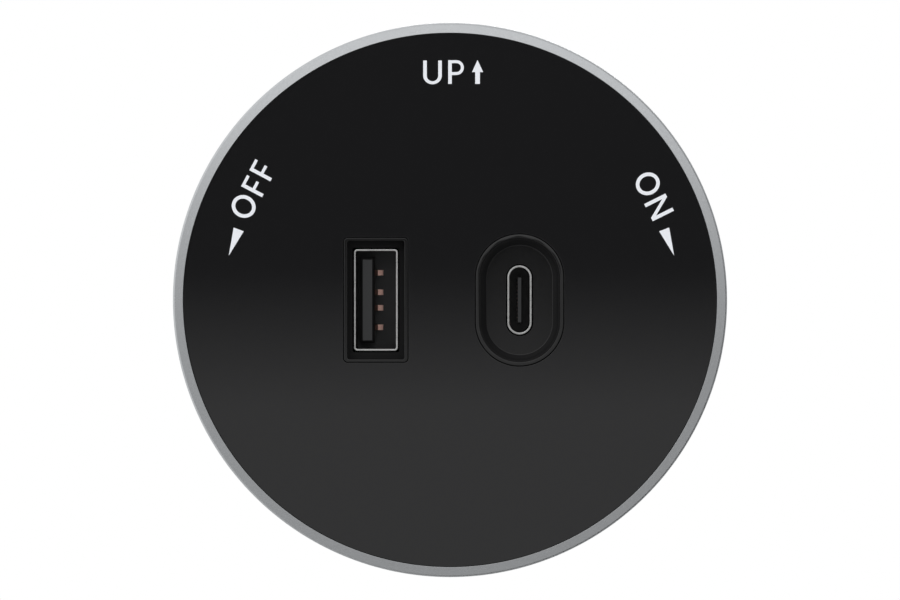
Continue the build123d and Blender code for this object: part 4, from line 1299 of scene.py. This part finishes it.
lights = {
    "keyLight": {"spot": (-1.0, -1.1, 1.3), "size": (1.2, 1.2), "power": 22},
    "fillLight": {"spot": (1.3, -1.0, 0.4), "size": (1.0, 1.0), "power": 5},
    "frontLight": {"spot": (0.2, -2.6, 0.3), "size": (0.8, 0.8), "power": 4},
    "rimLight": {"spot": (0.3, 1.5, 1.2), "size": (1.2, 0.8), "power": 14, "reflected": True},
}


def softLight(name, spot, size, power, reflected=False):
    data = bpy.data.lights.new(name, "AREA")
    data.shape = "RECTANGLE"
    data.size, data.size_y = size
    data.energy = power
    lamp = newObject(name, data)
    lamp.location = spot
    target = Vector((0, -0.02, 0))  # the middle of the socket
    lamp.rotation_euler = (target - Vector(spot)).to_track_quat("-Z", "Y").to_euler()
    lamp.visible_glossy = reflected


studio = {
    "worldSoft": 0.45,
    "floorSize": 2.4,
    "floorUp": -0.15,
    "floorGlow": 0.45,
}


def seenRays(tree):
    # 1 for camera, glossy and transmission rays
    rays = tree.nodes.new("ShaderNodeLightPath")
    total = calculate(tree, "MAXIMUM", rays.outputs["Is Camera Ray"], rays.outputs["Is Glossy Ray"])
    return calculate(tree, "MAXIMUM", total, rays.outputs["Is Transmission Ray"])


def makeWorld():
    # white where the camera and reflections look, and a soft grey light elsewhere
    world = bpy.data.worlds.new("studio")
    bpy.context.scene.world = world
    world.use_nodes = True
    tree = world.node_tree
    soft = tree.nodes["Background"]
    soft.inputs["Color"].default_value = (1, 1, 1, 1)
    soft.inputs["Strength"].default_value = studio["worldSoft"]
    white = tree.nodes.new("ShaderNodeBackground")
    white.inputs["Color"].default_value = (1, 1, 1, 1)
    mix = tree.nodes.new("ShaderNodeMixShader")
    feed(mix, "Fac", seenRays(tree))
    feed(mix, 1, soft.outputs["Background"])
    feed(mix, 2, white.outputs["Background"])
    feed(tree.nodes["World Output"], "Surface", mix.outputs["Shader"])


def makeFloor():
    # pale floor that keeps the shadow; part of its white is its own, and it is clear from below
    bm = bmesh.new()
    bmesh.ops.create_grid(bm, x_segments=1, y_segments=1, size=studio["floorSize"])
    bmesh.ops.translate(bm, vec=(0, 0, studio["floorUp"]), verts=bm.verts[:])
    floor = makeObject("floor", bm)
    material, tree, shader = newMaterial("paleFloor", (0.6, 0.6, 0.6), 0.9)
    shader.inputs["Specular IOR Level"].default_value = 0.0
    glow = tree.nodes.new("ShaderNodeEmission")
    glow.inputs["Color"].default_value = (1, 1, 1, 1)
    feed(glow, "Strength", calculate(tree, "MULTIPLY", seenRays(tree), studio["floorGlow"]))
    both = tree.nodes.new("ShaderNodeAddShader")
    feed(both, 0, shader.outputs["BSDF"])
    feed(both, 1, glow.outputs["Emission"])
    clear = tree.nodes.new("ShaderNodeBsdfTransparent")
    side = tree.nodes.new("ShaderNodeNewGeometry")
    mix = tree.nodes.new("ShaderNodeMixShader")
    feed(mix, "Fac", side.outputs["Backfacing"])
    feed(mix, 1, both.outputs["Shader"])
    feed(mix, 2, clear.outputs["BSDF"])
    feed(tree.nodes["Material Output"], "Surface", mix.outputs["Shader"])
    floor.data.materials.append(material)
    floor.visible_glossy = False  # reflections look past it, at the tent in front and the white world behind


# The tent in front, which only reflections see; it is read by direction, as parts of its radius
tent = {
    "radius": 2.5,
    "back": 0.2,  # it is open behind this
    "grey": 0.573,  # in the face: black above, then grey
    "darkTop": 0.0044,
    "greyFull": -0.0165,
    "innerR": 0.09,  # outside this it brightens upwards
    "outerR": 0.155,
    "low": 0.455,
    "high": 1.09,
    "lowZ": 0.015,
    "highZ": 0.38,
    "sideFrom": 0.55,  # far out it is bright at the upper left and dark at the lower right
    "sideFull": 0.85,
    "side": 0.5,
    "sideRight": -0.45,
    "sideUp": 0.33,
}


def makeTent():
    bm = bmesh.new()
    bmesh.ops.create_uvsphere(bm, u_segments=64, v_segments=32, radius=tent["radius"])
    bmesh.ops.bisect_plane(
        bm, geom=bm.verts[:] + bm.edges[:] + bm.faces[:], plane_co=(0, tent["back"], 0), plane_no=(0, 1, 0),
        clear_outer=True,
    )
    shelter = makeObject("tent", bm)
    shelter.visible_camera = False
    shelter.visible_diffuse = False
    shelter.visible_transmission = False
    shelter.visible_shadow = False
    material = bpy.data.materials.new("tent")
    material.use_nodes = True
    tree = material.node_tree
    tree.nodes.remove(tree.nodes["Principled BSDF"])
    glow = tree.nodes.new("ShaderNodeEmission")
    feed(tree.nodes["Material Output"], "Surface", glow.outputs["Emission"])
    aim = tree.nodes.new("ShaderNodeVectorMath")
    aim.operation = "NORMALIZE"
    parts = tree.nodes.new("ShaderNodeSeparateXYZ")
    feed(aim, 0, objectPlace(tree))
    feed(parts, "Vector", aim.outputs["Vector"])
    x, z = parts.outputs["X"], parts.outputs["Z"]
    centre = spread(tree, z, 0, tent["grey"], tent["darkTop"], tent["greyFull"])
    around = spread(tree, z, tent["low"], tent["high"], tent["lowZ"], tent["highZ"])
    across = calculate(tree, "MULTIPLY", x, tent["sideRight"])
    upwards = calculate(tree, "MULTIPLY", z, tent["sideUp"])
    side = calculate(tree, "ADD", calculate(tree, "ADD", across, upwards), tent["side"])
    off = offAxis(tree, aim.outputs["Vector"])
    strength = centre
    for start, full, zone in ((tent["innerR"], tent["outerR"], around), (tent["sideFrom"], tent["sideFull"], side)):
        mixed = tree.nodes.new("ShaderNodeMix")
        feed(mixed, "Factor", spread(tree, off, 0, 1, start, full, True))
        feed(mixed, 2, strength)
        feed(mixed, 3, zone)
        strength = mixed.outputs[0]
    feed(glow, "Strength", strength)
    shelter.data.materials.append(material)


makeCamera()
makeWorld()
makeFloor()
makeTent()
for name, values in lights.items():
    softLight(name, **values)
bpy.context.scene.view_settings.view_transform = "Standard"
print("stage made")
